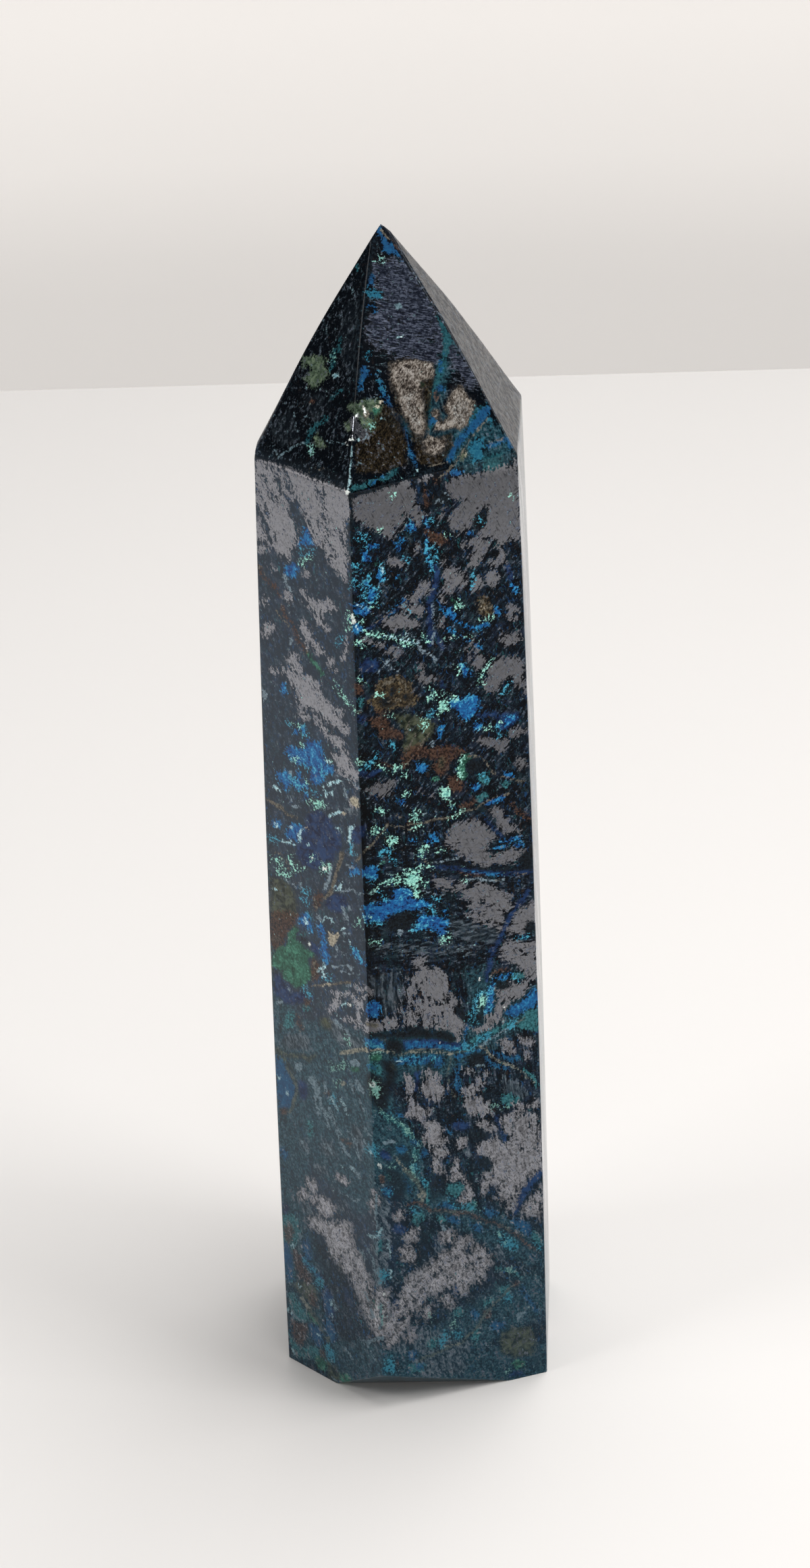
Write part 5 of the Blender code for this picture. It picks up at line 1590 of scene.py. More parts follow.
# Corners that fell on one another (the tip, the uncut part of the foot) are
# joined, and what is left over is dropped.
keys = np.round(final / 1e-6).astype(np.int64)
_, first_of, same = np.unique(keys, axis=0, return_index=True, return_inverse=True)
same = same.ravel()
clean = []
for ring in faces:
    kept = []
    for v in ring:
        w = int(same[v])
        if not kept or kept[-1] != w:
            kept.append(w)
    if len(kept) > 1 and kept[0] == kept[-1]:
        kept.pop()
    if len(set(kept)) == len(kept) and len(kept) >= 3:
        clean.append(kept)
used = np.unique(np.concatenate([np.array(ring) for ring in clean]))
renumber = np.full(len(first_of), -1)
renumber[used] = np.arange(len(used))
verts = final[first_of[used]]
packed = packed[first_of[used]]
clean = [[int(renumber[v]) for v in ring] for ring in clean]
mesh = bpy.data.meshes.new("stone")
mesh.from_pydata(verts.tolist(), [], clean)
mesh.update()
mesh.shade_smooth()
for n in range(0, len(KINDS), 3):
    layer = mesh.attributes.new("marks_%d" % (n // 3), "FLOAT_VECTOR", "POINT")
    layer.data.foreach_set("vector", np.ascontiguousarray(packed[:, n:n + 3], np.float32).ravel())
stone = bpy.data.objects.new("stone", mesh)
bpy.context.scene.collection.objects.link(stone)
mesh.calc_loop_triangles()
print("stone:", len(verts), "vertices", len(mesh.loop_triangles), "triangles")
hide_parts("stone_point")
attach(stone, "root")

# ---------------------------------------------------------------- material


def srgb(r, g, b):
    """Linear colour of an sRGB one given in 0 to 255."""
    out = []
    for c in (r, g, b):
        c /= 255.0
        out.append(c / 12.92 if c <= 0.04045 else ((c + 0.055) / 1.055) ** 2.4)
    return (*out, 1.0)


material = bpy.data.materials.new("azurite_chrysocolla_polished")
material.use_nodes = True
tree = material.node_tree
tree.nodes.clear()
output = tree.nodes.new("ShaderNodeOutputMaterial")
shader = tree.nodes.new("ShaderNodeBsdfPrincipled")
tree.links.new(shader.outputs["BSDF"], output.inputs["Surface"])


def put(socket, value):
    if isinstance(value, bpy.types.NodeSocket):
        tree.links.new(value, socket)
    else:
        socket.default_value = value


def calc(op, a, b=0.0, c=0.0, clamp=False):
    node = tree.nodes.new("ShaderNodeMath")
    node.operation = op
    node.use_clamp = clamp
    put(node.inputs[0], a)
    put(node.inputs[1], b)
    if op in ("MULTIPLY_ADD", "COMPARE", "SMOOTH_MIN", "SMOOTH_MAX"):
        put(node.inputs[2], c)
    return node.outputs[0]


def add(a, b):
    return calc("ADD", a, b)


def mul(a, b):
    return calc("MULTIPLY", a, b)


def fit(value, low, high, to_low=0.0, to_high=1.0, smooth=True):
    node = tree.nodes.new("ShaderNodeMapRange")
    node.interpolation_type = "SMOOTHSTEP" if smooth else "LINEAR"
    put(node.inputs["Value"], value)
    put(node.inputs["From Min"], low)
    put(node.inputs["From Max"], high)
    put(node.inputs["To Min"], to_low)
    put(node.inputs["To Max"], to_high)
    return node.outputs["Result"]


def blend(share, a, b, how="MIX"):
    node = tree.nodes.new("ShaderNodeMix")
    node.data_type = "RGBA"
    node.blend_type = how
    put(node.inputs["Factor"], share)
    put(node.inputs[6], a)
    put(node.inputs[7], b)
    return node.outputs[2]


def noise(vector, scale, detail=4.0, rough=0.55, lacunarity=2.0, bend=0.0):
    node = tree.nodes.new("ShaderNodeTexNoise")
    node.noise_dimensions = "3D"
    put(node.inputs["Vector"], vector)
    node.inputs["Scale"].default_value = scale
    node.inputs["Detail"].default_value = detail
    node.inputs["Roughness"].default_value = rough
    node.inputs["Lacunarity"].default_value = lacunarity
    node.inputs["Distortion"].default_value = bend
    return node.outputs["Fac"]


def turned(vector, degrees_y, stretch, offset=(0.0, 0.0, 0.0)):
    """Coordinates drawn out along a direction in the upright plane that faces
    the camera: 0 is level, 90 upright, and between them down to the right."""
    turn = tree.nodes.new("ShaderNodeMapping")
    turn.vector_type = "POINT"
    turn.inputs["Rotation"].default_value = (0.0, math.radians(-degrees_y), 0.0)
    turn.inputs["Location"].default_value = offset
    put(turn.inputs["Vector"], vector)
    scale = tree.nodes.new("ShaderNodeMapping")
    scale.vector_type = "POINT"
    scale.inputs["Scale"].default_value = (stretch, 1.0, 1.0)
    put(scale.inputs["Vector"], turn.outputs[0])
    return scale.outputs[0]


def ramp(value, *stops):
    node = tree.nodes.new("ShaderNodeValToRGB")
    node.color_ramp.interpolation = "LINEAR"
    while len(node.color_ramp.elements) < len(stops):
        node.color_ramp.elements.new(0.5)
    for element, (place, colour) in zip(node.color_ramp.elements, stops):
        element.position = place
        element.color = colour
    put(node.inputs[0], value)
    return node.outputs[0]


coordinates = tree.nodes.new("ShaderNodeTexCoord")
to_mm = tree.nodes.new("ShaderNodeVectorMath")
to_mm.operation = "SCALE"
to_mm.inputs["Scale"].default_value = 1000.0
tree.links.new(coordinates.outputs["Object"], to_mm.inputs[0])
mm = to_mm.outputs[0]

field = {}
for n in range(0, len(KINDS), 3):
    attribute = tree.nodes.new("ShaderNodeAttribute")
    attribute.attribute_type = "GEOMETRY"
    attribute.attribute_name = "marks_%d" % (n // 3)
    parts = tree.nodes.new("ShaderNodeSeparateXYZ")
    tree.links.new(attribute.outputs["Vector"], parts.inputs[0])
    for k in range(3):
        field[KINDS[n + k]] = parts.outputs[k]

height = tree.nodes.new("ShaderNodeSeparateXYZ")
tree.links.new(mm, height.inputs[0])
height = height.outputs[2]

# Noise at several scales. The streaky ones are drawn out along a direction.
coarse = noise(mm, 0.55, 3.0, 0.5)
medium = noise(mm, 1.7, 5.0, 0.6, bend=0.6)
fine = noise(mm, 5.5, 4.0, 0.6, bend=0.4)
grit = noise(mm, 16.0, 2.0, 0.6)
steep = noise(turned(mm, 58.0, 0.20), 3.4, 6.0, 0.66, bend=0.5)
upright = noise(turned(mm, 84.0, 0.20), 3.6, 6.0, 0.66, bend=0.5)
rising = noise(turned(mm, 132.0, 0.22), 3.6, 6.0, 0.66, bend=0.5)
level_streaks = noise(turned(mm, 4.0, 0.18), 4.0, 6.0, 0.66, bend=0.5)
across = fit(field["across"], -6.0, 6.0)
slant = fit(field["slant"], -6.0, 6.0)
rise = fit(field["rise"], -6.0, 6.0)
streaky = calc("ADD", mul(upright, calc("SUBTRACT", 1.0, slant)), mul(steep, slant))
streaky = calc("ADD", mul(streaky, calc("SUBTRACT", 1.0, rise)), mul(rising, rise))
streaky = calc("ADD", mul(streaky, calc("SUBTRACT", 1.0, across)), mul(level_streaks, across))
# Lower down the streaks curl and lose their direction.
curly = noise(turned(mm, 66.0, 0.50, (4.0, 1.0, 6.0)), 3.4, 4.0, 0.58, bend=1.0)
curl = fit(height, 38.0, 12.0, 0.0, 0.62)
streaky = add(mul(streaky, calc("SUBTRACT", 1.0, curl)), mul(curly, curl))
streaky = add(0.5, mul(calc("SUBTRACT", streaky, 0.5), add(1.0, mul(curl, 0.45))))
rough_edge = calc("SUBTRACT", add(mul(streaky, 0.75), mul(fine, 0.25)), 0.5)
fine_edge = calc("SUBTRACT", add(mul(fine, 0.6), mul(grit, 0.4)), 0.5)


def mask(kind, softness=1.0, ragged=10.0, fine_ragged=5.0, grow=0.0):
    f = field[kind]
    f = add(f, mul(rough_edge, ragged)) if ragged else f
    f = add(f, mul(fine_edge, fine_ragged)) if fine_ragged else f
    return fit(f, -softness - grow, softness - grow)


def less(a, *others):
    for other in others:
        a = mul(a, calc("SUBTRACT", 1.0, other))
    return a


def grains(vector, scale):
    """A random number for each angular grain."""
    node = tree.nodes.new("ShaderNodeTexVoronoi")
    node.feature = "F1"
    put(node.inputs["Vector"], vector)
    node.inputs["Scale"].default_value = scale
    split = tree.nodes.new("ShaderNodeSeparateColor")
    tree.links.new(node.outputs["Color"], split.inputs[0])
    return split.outputs[0], split.outputs[1]


# The dark matrix: near-black, broken into grains of slate, deep teal and dim
# violet, with flecks of blue, teal and pale blue scattered through it.
wavy = tree.nodes.new("ShaderNodeVectorMath")
wavy.operation = "MULTIPLY_ADD"
wobble = tree.nodes.new("ShaderNodeTexNoise")
wobble.inputs["Scale"].default_value = 2.6
wobble.inputs["Detail"].default_value = 3.0
put(wobble.inputs["Vector"], mm)
tree.links.new(wobble.outputs["Color"], wavy.inputs[0])
wavy.inputs[1].default_value = (1.1, 1.1, 1.1)
put(wavy.inputs[2], turned(mm, 80.0, 0.55))
grain, grain_hue = grains(wavy.outputs[0], 1.9)
tone = add(mul(streaky, 0.45), add(mul(medium, 0.25), mul(fine, 0.20)))
tone = add(tone, mul(grain, 0.10))
on_point = fit(height, 78.5, 80.5)
near_foot = fit(height, 34.0, 8.0)
lower = fit(height, 39.0, 30.0)
tone = calc("SUBTRACT", tone, mul(on_point, 0.098))
matrix = ramp(
    tone,
    (0.42, (0.0005, 0.0024, 0.0062, 1.0)),
    (0.49, (0.0018, 0.0070, 0.0160, 1.0)),
    (0.54, (0.0085, 0.0255, 0.0460, 1.0)),
    (0.59, (0.0380, 0.0620, 0.0940, 1.0)),
    (0.66, (0.0900, 0.1300, 0.1750, 1.0)),
)
violet = fit(noise(mm, 0.7, 3.0, 0.5, bend=0.8), 0.52, 0.62)
matrix = blend(mul(mul(violet, 0.7), fit(tone, 0.44, 0.58)), matrix, (0.026, 0.042, 0.092, 1.0))
greenish = fit(noise(turned(mm, 70.0, 0.5, (7.0, 3.0, 1.0)), 0.9, 3.0, 0.5, bend=0.8), 0.54, 0.64)
matrix = blend(mul(mul(greenish, 0.5), fit(tone, 0.44, 0.58)), matrix, (0.015, 0.050, 0.058, 1.0))
under = calc("SUBTRACT", 1.0, mul(on_point, 0.9))
flecks = noise(turned(mm, 78.0, 0.5, (3.0, 9.0, 4.0)), 4.2, 4.0, 0.62, bend=0.7)
matrix = blend(mul(mul(fit(flecks, 0.59, 0.64), fit(grain_hue, 0.35, 0.55)), under), matrix, (0.020, 0.090, 0.24, 1.0))
matrix = blend(mul(mul(fit(flecks, 0.59, 0.64), fit(grain_hue, 0.45, 0.25)), under), matrix, (0.025, 0.125, 0.150, 1.0))
matrix = blend(mul(fit(flecks, 0.40, 0.36), fit(grain_hue, 0.5, 0.7)), matrix, (0.050, 0.034, 0.030, 1.0))
matrix = blend(mul(mul(fit(grit, 0.66, 0.72), 0.6), under), matrix, (0.16, 0.24, 0.28, 1.0))
matrix = blend(mul(slant, 0.42), matrix, (0.020, 0.036, 0.064, 1.0))
# Painted shade: the dim band by the long edge and the two facets above the front faces are darkened, and the right
# front face the more the higher up it is.
painted_shade = fit(field["painted_shade"], -2.0, 2.0)
right_face = mul(fit(field["painted_face_light"], -2.0, 2.0), calc("SUBTRACT", 1.0, on_point))
matrix = blend(1.0, matrix, calc("SUBTRACT", 1.0, mul(painted_shade, 0.70)), "MULTIPLY")
matrix = blend(1.0, matrix, calc("SUBTRACT", 1.0, mul(right_face, fit(height, 10.0, 40.0, 0.30, 0.52))), "MULTIPLY")
# Painted shade: the two facets above the front faces go towards near black.
matrix = blend(mul(mul(painted_shade, on_point), 0.5), matrix, (0.0032, 0.0046, 0.0068, 1.0))
# Painted reflection: a pale bluish haze lifts the dark matrix of the left front face, fading in above the foot.
left_face = mul(fit(field["painted_face_light"], -6.0, -4.0), calc("SUBTRACT", 1.0, fit(field["painted_face_light"], -2.0, 2.0)))
left_face = mul(mul(left_face, calc("SUBTRACT", 1.0, on_point)), fit(height, 6.0, 26.0))
matrix = blend(mul(left_face, 0.15), matrix, (0.085, 0.120, 0.150, 1.0))
colour = matrix

pale = ramp(streaky, (0.42, (0.010, 0.021, 0.032, 1.0)), (0.53, (0.072, 0.100, 0.124, 1.0)), (0.61, (0.22, 0.27, 0.31, 1.0)))
soaked = ramp(add(mul(streaky, 0.5), mul(fine, 0.5)), (0.42, (0.006, 0.020, 0.030, 1.0)), (0.50, (0.020, 0.070, 0.095, 1.0)), (0.60, (0.060, 0.180, 0.220, 1.0)))
colour = blend(mul(mask("halo", 9.0, 60.0, 10.0), 0.62), colour, soaked)
veil_share = mul(mul(mask("veil", 4.0, 40.0, 16.0), 0.8), calc("SUBTRACT", 1.0, mul(on_point, 0.88)))
# Painted shade: less pale haze on the right front face above its lower part.
veil_share = mul(veil_share, calc("SUBTRACT", 1.0, mul(mul(right_face, calc("SUBTRACT", 1.0, lower)), 0.5)))
colour = blend(veil_share, colour, pale)
mossy = ramp(medium, (0.40, (0.010, 0.015, 0.010, 1.0)), (0.62, (0.10, 0.115, 0.070, 1.0)))
colour = blend(mul(mask("olive", 3.5, 30.0, 14.0), 0.85), colour, mossy)
dusty = ramp(add(mul(medium, 0.5), mul(fine, 0.5)), (0.38, (0.012, 0.018, 0.012, 1.0)), (0.50, (0.055, 0.085, 0.055, 1.0)), (0.62, (0.15, 0.20, 0.13, 1.0)))
colour = blend(mask("moss", 2.5, 26.0, 26.0), colour, dusty)
deep_teal = ramp(fine, (0.35, (0.006, 0.035, 0.045, 1.0)), (0.65, (0.05, 0.21, 0.24, 1.0)))
deep_teal = blend(mul(on_point, 0.62), deep_teal, (0.006, 0.030, 0.044, 1.0))
teal_mask = mask("teal", 1.8, 30.0, 16.0)
colour = blend(teal_mask, colour, deep_teal)
night = ramp(medium, (0.38, (0.004, 0.011, 0.042, 1.0)), (0.62, (0.016, 0.050, 0.145, 1.0)))
colour = blend(mask("navy", 2.2, 28.0, 12.0), colour, night)
malachite = ramp(
    add(mul(medium, 0.6), mul(fine, 0.4)),
    (0.36, (0.006, 0.028, 0.020, 1.0)), (0.50, (0.028, 0.120, 0.082, 1.0)), (0.64, (0.080, 0.29, 0.20, 1.0)),
)
green_mask = mask("green", 2.0, 18.0, 14.0)
colour = blend(green_mask, colour, malachite)
blue_tone = add(mul(streaky, 0.35), add(mul(medium, 0.3), mul(fine, 0.35)))
azurite = ramp(
    blue_tone,
    (0.40, (0.003, 0.008, 0.030, 1.0)), (0.45, (0.012, 0.060, 0.22, 1.0)),
    (0.52, (0.014, 0.130, 0.35, 1.0)), (0.575, (0.03, 0.27, 0.54, 1.0)), (0.63, (0.16, 0.56, 0.74, 1.0)),
)
azure_mask = mask("azure", 1.2, 32.0, 24.0)
azurite = blend(mul(on_point, 0.80), azurite, (0.010, 0.048, 0.105, 1.0))
azurite = blend(mul(lower, 0.74), azurite, (0.010, 0.055, 0.105, 1.0))
colour = blend(azure_mask, colour, azurite)
rusty = ramp(fine, (0.40, (0.012, 0.008, 0.007, 1.0)), (0.60, (0.105, 0.055, 0.036, 1.0)))
rust_mask = mask("rust", 2.4, 26.0, 18.0)
colour = blend(mul(rust_mask, 0.85), colour, rusty)
brushed = noise(turned(mm, 118.0, 0.10, (1.0, 2.0, 3.0)), 9.0, 4.0, 0.6, bend=0.5)
brushed_here = mul(on_point, 0.75)
earth_tone = add(mul(fine, calc("SUBTRACT", 1.0, brushed_here)), mul(brushed, brushed_here))
earth = ramp(add(mul(streaky, 0.35), mul(earth_tone, 0.65)), (0.42, (0.008, 0.007, 0.005, 1.0)), (0.50, (0.048, 0.036, 0.020, 1.0)), (0.59, (0.170, 0.125, 0.065, 1.0)))
# Painted shade darkens the umber in the same places.
earth = blend(1.0, earth, calc("SUBTRACT", 1.0, mul(painted_shade, 0.72)), "MULTIPLY")
colour = blend(mul(mask("umber", 2.6, 26.0, 20.0), 0.9), colour, earth)

scratches = noise(turned(mm, 6.0, 0.060), 12.0, 3.0, 0.6, bend=0.15)

# Polished sulphide and oxide patches mirror their surroundings, and dark
# streaks of the matrix run through them.
thin_streaks = noise(turned(mm, 62.0, 0.13, (2.0, 5.0, 8.0)), 8.5, 4.0, 0.6, bend=0.35)
split = fit(thin_streaks, 0.585, 0.635)
pits = fit(add(mul(fine, 0.5), mul(medium, 0.5)), add(0.39, mul(near_foot, 0.05)), add(0.35, mul(near_foot, 0.02)))
grey_soft = add(1.4, mul(near_foot, 8.5))
grey_field = add(add(field["grey"], mul(rough_edge, 58.0)), mul(fine_edge, add(16.0, mul(near_foot, -12.0))))
grey_mask = less(fit(grey_field, mul(grey_soft, -1.0), grey_soft), mul(split, 0.75), mul(pits, 0.7))
# The tan and the bluish metal patches are real metal; their tint and brightness are painted reflection.
warm_lit_metal_mask = less(mask("warm_lit_metal", 9.0, 22.0, 14.0), teal_mask, azure_mask, green_mask, rust_mask)
blue_lit_metal_mask = less(mul(mask("blue_lit_metal", 9.0, 60.0, 16.0), fit(add(mul(medium, 0.6), mul(scratches, 0.4)), 0.41, 0.50)), teal_mask, azure_mask, green_mask, rust_mask)
metal = calc("MAXIMUM", grey_mask, calc("MAXIMUM", mul(warm_lit_metal_mask, 0.85), mul(blue_lit_metal_mask, 0.8)))
sheen_grey = ramp(
    add(mul(fine, 0.45), mul(streaky, 0.55)),
    (0.38, (0.175, 0.182, 0.200, 1.0)), (0.50, (0.270, 0.278, 0.305, 1.0)), (0.62, (0.335, 0.343, 0.372, 1.0)),
)
blue_lit_metal_colour = ramp(
    add(mul(scratches, 0.6), mul(fine, 0.4)),
    (0.42, (0.010, 0.013, 0.022, 1.0)), (0.50, (0.034, 0.042, 0.066, 1.0)), (0.58, (0.160, 0.185, 0.250, 1.0)),
)
# Painted warm reflection: the tan metal's colour runs up to near white.
warm_lit_metal_colour = ramp(
    add(mul(brushed, 0.60), mul(medium, 0.40)),
    (0.42, (0.060, 0.048, 0.040, 1.0)), (0.50, (0.38, 0.320, 0.265, 1.0)), (0.57, (0.95, 0.87, 0.77, 1.0)),
)
# Painted highlight: the glint patches turn the metal near white.
glow = mul(mask("glint", 2.5, 12.0), fit(add(mul(fine, 0.6), mul(streaky, 0.4)), 0.47, 0.60))
warm_lit_metal_colour = blend(glow, warm_lit_metal_colour, (0.96, 0.92, 0.84, 1.0))
# Painted reflection: the sheen of the grey patches on the right front face changes
# with the height, standing in for the darker and lighter room it mirrors, and on the
# left front face it is raised a little: pairs of height (mm) and strength.
reflection_strength_by_height = ((0.0, 0.86), (10.0, 0.84), (20.0, 0.76), (35.0, 0.62), (50.0, 0.49), (57.0, 0.42), (64.0, 0.46), (71.0, 0.60), (76.0, 0.48), (80.0, 0.40))
painted_reflection_by_height = ramp(mul(height, 1.0 / 80.0), *((z / 80.0, (v, v, v, 1.0)) for z, v in reflection_strength_by_height))
painted_reflection_strength = blend(right_face, (1.10, 1.10, 1.10, 1.0), painted_reflection_by_height)
mottled = fit(add(mul(fine, 0.22), add(mul(streaky, 0.40), mul(medium, 0.38))), 0.43, 0.57, 0.55, 1.28)
mottled = add(1.0, mul(calc("SUBTRACT", mottled, 1.0), lower))
sheen_grey = blend(1.0, blend(1.0, sheen_grey, painted_reflection_strength, "MULTIPLY"), mottled, "MULTIPLY")
sheen_grey = blend(1.0, sheen_grey, fit(grey_mask, 0.1, 0.9, 0.45, 1.0), "MULTIPLY")
sheen = blend(fit(blue_lit_metal_mask, 0.0, 0.3), sheen_grey, blue_lit_metal_colour)
warm_lit_metal_colour = blend(1.0, warm_lit_metal_colour, calc("POWER", calc("ADD", warm_lit_metal_mask, 0.03), 1.2), "MULTIPLY")
blue_lit_metal_colour = blend(1.0, blue_lit_metal_colour, calc("POWER", calc("ADD", blue_lit_metal_mask, 0.05), 0.7), "MULTIPLY")
sheen = blend(fit(warm_lit_metal_mask, 0.0, 0.3), sheen, warm_lit_metal_colour)
dark_mask = mask("dark", 3.0, 46.0, 22.0)
dark_mask = mul(dark_mask, calc("SUBTRACT", 1.0, mul(near_foot, 0.6)))
colour = blend(dark_mask, colour, ramp(fine, (0.40, (0.0022, 0.0028, 0.0036, 1.0)), (0.62, (0.010, 0.017, 0.024, 1.0))))
metal = less(metal, dark_mask)
colour = blend(fit(metal, 0.0, 0.35), colour, sheen)

THIN = dict(ragged=11.0, fine_ragged=9.0)
for kind, low, high in (
    ("steel", (0.060, 0.095, 0.125, 1.0), (0.24, 0.32, 0.38, 1.0)),
    ("tan", (0.036, 0.034, 0.029, 1.0), (0.165, 0.150, 0.120, 1.0)),
    ("cyan", (0.010, 0.115, 0.26, 1.0), (0.085, 0.43, 0.60, 1.0)),
    ("mint", (0.09, 0.38, 0.34, 1.0), (0.42, 0.84, 0.72, 1.0)),
    ("cream", (0.16, 0.145, 0.11, 1.0), (0.52, 0.48, 0.38, 1.0)),
    ("ice", (0.15, 0.36, 0.46, 1.0), (0.56, 0.82, 0.88, 1.0)),
    ("white", (0.75, 0.90, 0.86, 1.0), (0.95, 0.98, 0.95, 1.0)),
):
    m = mask(kind, 1.3, 34.0, 46.0, -1.7 if kind == "mint" else -1.2) if kind in ("mint", "cyan") else mask(kind, 1.2, **THIN)
    tint = ramp(fine, (0.38, low), (0.60, high))
    if kind == "cyan":
        tint = blend(mul(on_point, 0.85), tint, (0.010, 0.070, 0.115, 1.0))
        tint = blend(mul(lower, 0.6), tint, (0.018, 0.120, 0.160, 1.0))
    if kind in ("ice", "white", "steel"):
        tint = blend(mul(lower, 0.5), tint, (0.085, 0.150, 0.180, 1.0))
    if kind in ("tan", "cream", "mint"):
        tint = blend(mul(lower, 0.62), tint, (0.050, 0.090, 0.092, 1.0))
    if kind in ("mint", "ice", "steel"):
        tint = blend(mul(on_point, 0.5), tint, (0.045, 0.105, 0.115, 1.0))
    colour = blend(m, colour, tint)
    metal = less(metal, m)

# Towards the foot the colours grow smoky.
smoke = mul(mul(near_foot, calc("SUBTRACT", 1.0, metal)), 0.36)
colour = blend(smoke, colour, (0.018, 0.043, 0.066, 1.0))
# Painted shade: the dim band beside the long edge is darkened once more.
colour = blend(1.0, colour, calc("SUBTRACT", 1.0, mul(mul(painted_shade, 0.40), right_face)), "MULTIPLY")
put(shader.inputs["Base Color"], colour)
put(shader.inputs["Metallic"], metal)
# The side and back facets of the point are a little less well polished.
satin = mul(mul(on_point, calc("SUBTRACT", 1.0, painted_shade)), fit(add(mul(medium, 0.6), mul(brushed, 0.4)), 0.40, 0.60, 0.06, 0.26))
put(shader.inputs["Roughness"], add(fit(fine, 0.3, 0.7, 0.10, 0.17), satin))
shader.inputs["IOR"].default_value = 1.25
gloss = add(0.5, calc("SUBTRACT", mul(left_face, 0.34), mul(right_face, 0.26)))
gloss = calc("SUBTRACT", gloss, mul(mul(painted_shade, on_point), 0.15))
put(shader.inputs["Specular IOR Level"], gloss)
bump = tree.nodes.new("ShaderNodeBump")
bump.inputs["Strength"].default_value = 0.06
bump.inputs["Distance"].default_value = 0.00004
put(bump.inputs["Height"], add(fine, mul(metal, 0.4)))
put(shader.inputs["Normal"], bump.outputs["Normal"])
mesh.materials.append(material)

# ------------------------------------------------------- floor, wall, lights


def plain(name, colour, roughness, fades=(), along=1, glow=0.0):
    """A pale stage surface. With fades, it gets darker along an axis: pairs of how
    far in the negative direction (m) and how bright. With glow, it is lit of itself."""
    made = bpy.data.materials.new(name)
    made.use_nodes = True
    nodes, links = made.node_tree.nodes, made.node_tree.links
    bsdf = nodes["Principled BSDF"]
    coord = nodes.new("ShaderNodeTexCoord")
    cloud = nodes.new("ShaderNodeTexNoise")
    cloud.inputs["Scale"].default_value = 18.0
    cloud.inputs["Detail"].default_value = 3.0
    mixed = nodes.new("ShaderNodeMix")
    mixed.data_type = "RGBA"
    links.new(coord.outputs["Object"], cloud.inputs["Vector"])
    links.new(cloud.outputs["Fac"], mixed.inputs["Factor"])
    mixed.inputs[6].default_value = (*(c * 0.985 for c in colour), 1.0)
    mixed.inputs[7].default_value = (*colour, 1.0)
    out = mixed.outputs[2]
    if fades:
        axes = nodes.new("ShaderNodeSeparateXYZ")
        links.new(coord.outputs["Object"], axes.inputs[0])
        reach = nodes.new("ShaderNodeMapRange")
        reach.inputs["From Min"].default_value = -fades[-1][0]
        reach.inputs["From Max"].default_value = -fades[0][0]
        links.new(axes.outputs[along], reach.inputs["Value"])
        steps = nodes.new("ShaderNodeValToRGB")
        while len(steps.color_ramp.elements) < len(fades):
            steps.color_ramp.elements.new(0.5)
        span = fades[-1][0] - fades[0][0]
        for element, (away, level_of) in zip(steps.color_ramp.elements, reversed(fades)):
            element.position = (fades[-1][0] - away) / span
            element.color = (level_of, level_of, level_of, 1.0)
        links.new(reach.outputs[0], steps.inputs[0])
        shade = nodes.new("ShaderNodeMix")
        shade.data_type = "RGBA"
        shade.blend_type = "MULTIPLY"
        shade.inputs["Factor"].default_value = 1.0
        links.new(out, shade.inputs[6])
        links.new(steps.outputs[0], shade.inputs[7])
        out = shade.outputs[2]
    links.new(out, bsdf.inputs["Base Color"])
    bsdf.inputs["Roughness"].default_value = roughness
    if glow:
        links.new(out, bsdf.inputs["Emission Color"])
        bsdf.inputs["Emission Strength"].default_value = glow
    return made


def sheet_at(name, corners, made):
    m = bpy.data.meshes.new(name)
    m.from_pydata([tuple(c) for c in corners], [], [tuple(range(len(corners)))])
    m.materials.append(made)
    o = bpy.data.objects.new(name, m)
    bpy.context.scene.collection.objects.link(o)
    return o


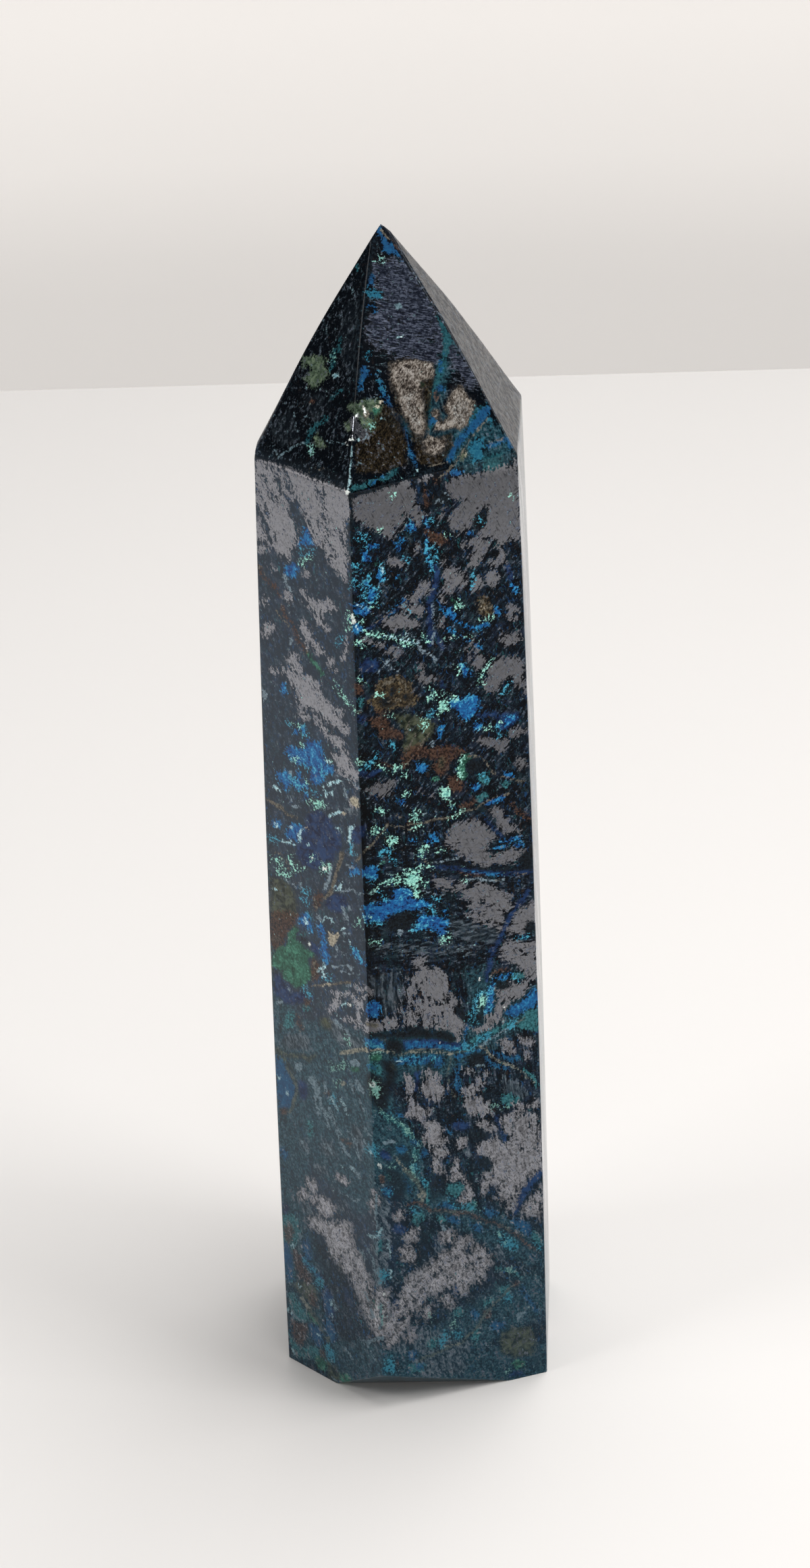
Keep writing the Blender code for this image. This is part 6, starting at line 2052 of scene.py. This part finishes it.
# The floor is a table top: its far edge is straight, and a low pale ring stands
# round it, farther off than the camera goes in any view.
EDGE_Y, RING_Y, RING = 0.209, -0.18, 0.84
turn_from = math.asin((EDGE_Y - RING_Y) / RING)
outline = [
    (RING * math.cos(a), RING_Y + RING * math.sin(a), 0.0)
    for a in np.linspace(math.pi - turn_from, 2.0 * math.pi + turn_from, 72)
]
floor = sheet_at("floor", outline, plain("pale_floor", (0.80, 0.775, 0.75), 0.55))
circle = [(1.01 * RING * math.cos(a), RING_Y + 1.01 * RING * math.sin(a)) for a in np.linspace(0.0, 2.0 * math.pi, 96, endpoint=False)]
ring_mesh = bpy.data.meshes.new("wall")
ring_mesh.from_pydata(
    [(x, y, z) for z in (-0.30, 0.33) for x, y in circle],
    [],
    [(k, (k + 1) % 96, 96 + (k + 1) % 96, 96 + k) for k in range(96)],
)
# The wall's colour is darker towards its foot, a painted shade, and it glows of itself.
ring_mesh.materials.append(plain("pale_wall", (0.90, 0.865, 0.83), 0.8, ((0.085, 1.0), (0.120, 0.95), (0.146, 0.84), (0.156, 0.82)), 2, glow=0.545))
ring_mesh.shade_smooth()
wall = bpy.data.objects.new("wall", ring_mesh)
bpy.context.scene.collection.objects.link(wall)


def softbox(name, place, aim, width, height, watts, tint=(1.0, 1.0, 1.0)):
    data = bpy.data.lights.new(name, "AREA")
    data.shape = "RECTANGLE"
    data.size, data.size_y = width, height
    data.energy = watts
    data.color = tint
    lamp = bpy.data.objects.new(name, data)
    bpy.context.scene.collection.objects.link(lamp)
    lamp.location = place
    lamp.rotation_euler = (Vector(aim) - Vector(place)).to_track_quat("-Z", "Y").to_euler()
    return lamp


softbox("key", (0.10, 0.05, 0.45), (0.0, 0.0, 0.0), 0.34, 0.34, 1.86)
softbox("from_left", (-0.30, -0.12, 0.34), (0.0, 0.0, 0.02), 0.16, 0.16, 0.42)
softbox("from_right", (0.32, -0.14, 0.34), (0.0, 0.0, 0.02), 0.16, 0.16, 0.66)
softbox("front_panel", (0.22, -0.33, 0.44), (0.0, 0.0, 0.085), 0.20, 0.12, 0.022, (0.93, 0.94, 1.0))
softbox("low_fill", (0.10, -0.42, 0.10), (0.0, 0.0, 0.0), 0.50, 0.12, 0.16)

world = bpy.data.worlds.new("dim_room")
world.use_nodes = True
world.node_tree.nodes["Background"].inputs["Color"].default_value = (0.90, 0.93, 1.0, 1.0)
world.node_tree.nodes["Background"].inputs["Strength"].default_value = 0.08
bpy.context.scene.world = world
bpy.context.scene.view_settings.view_transform = "Standard"
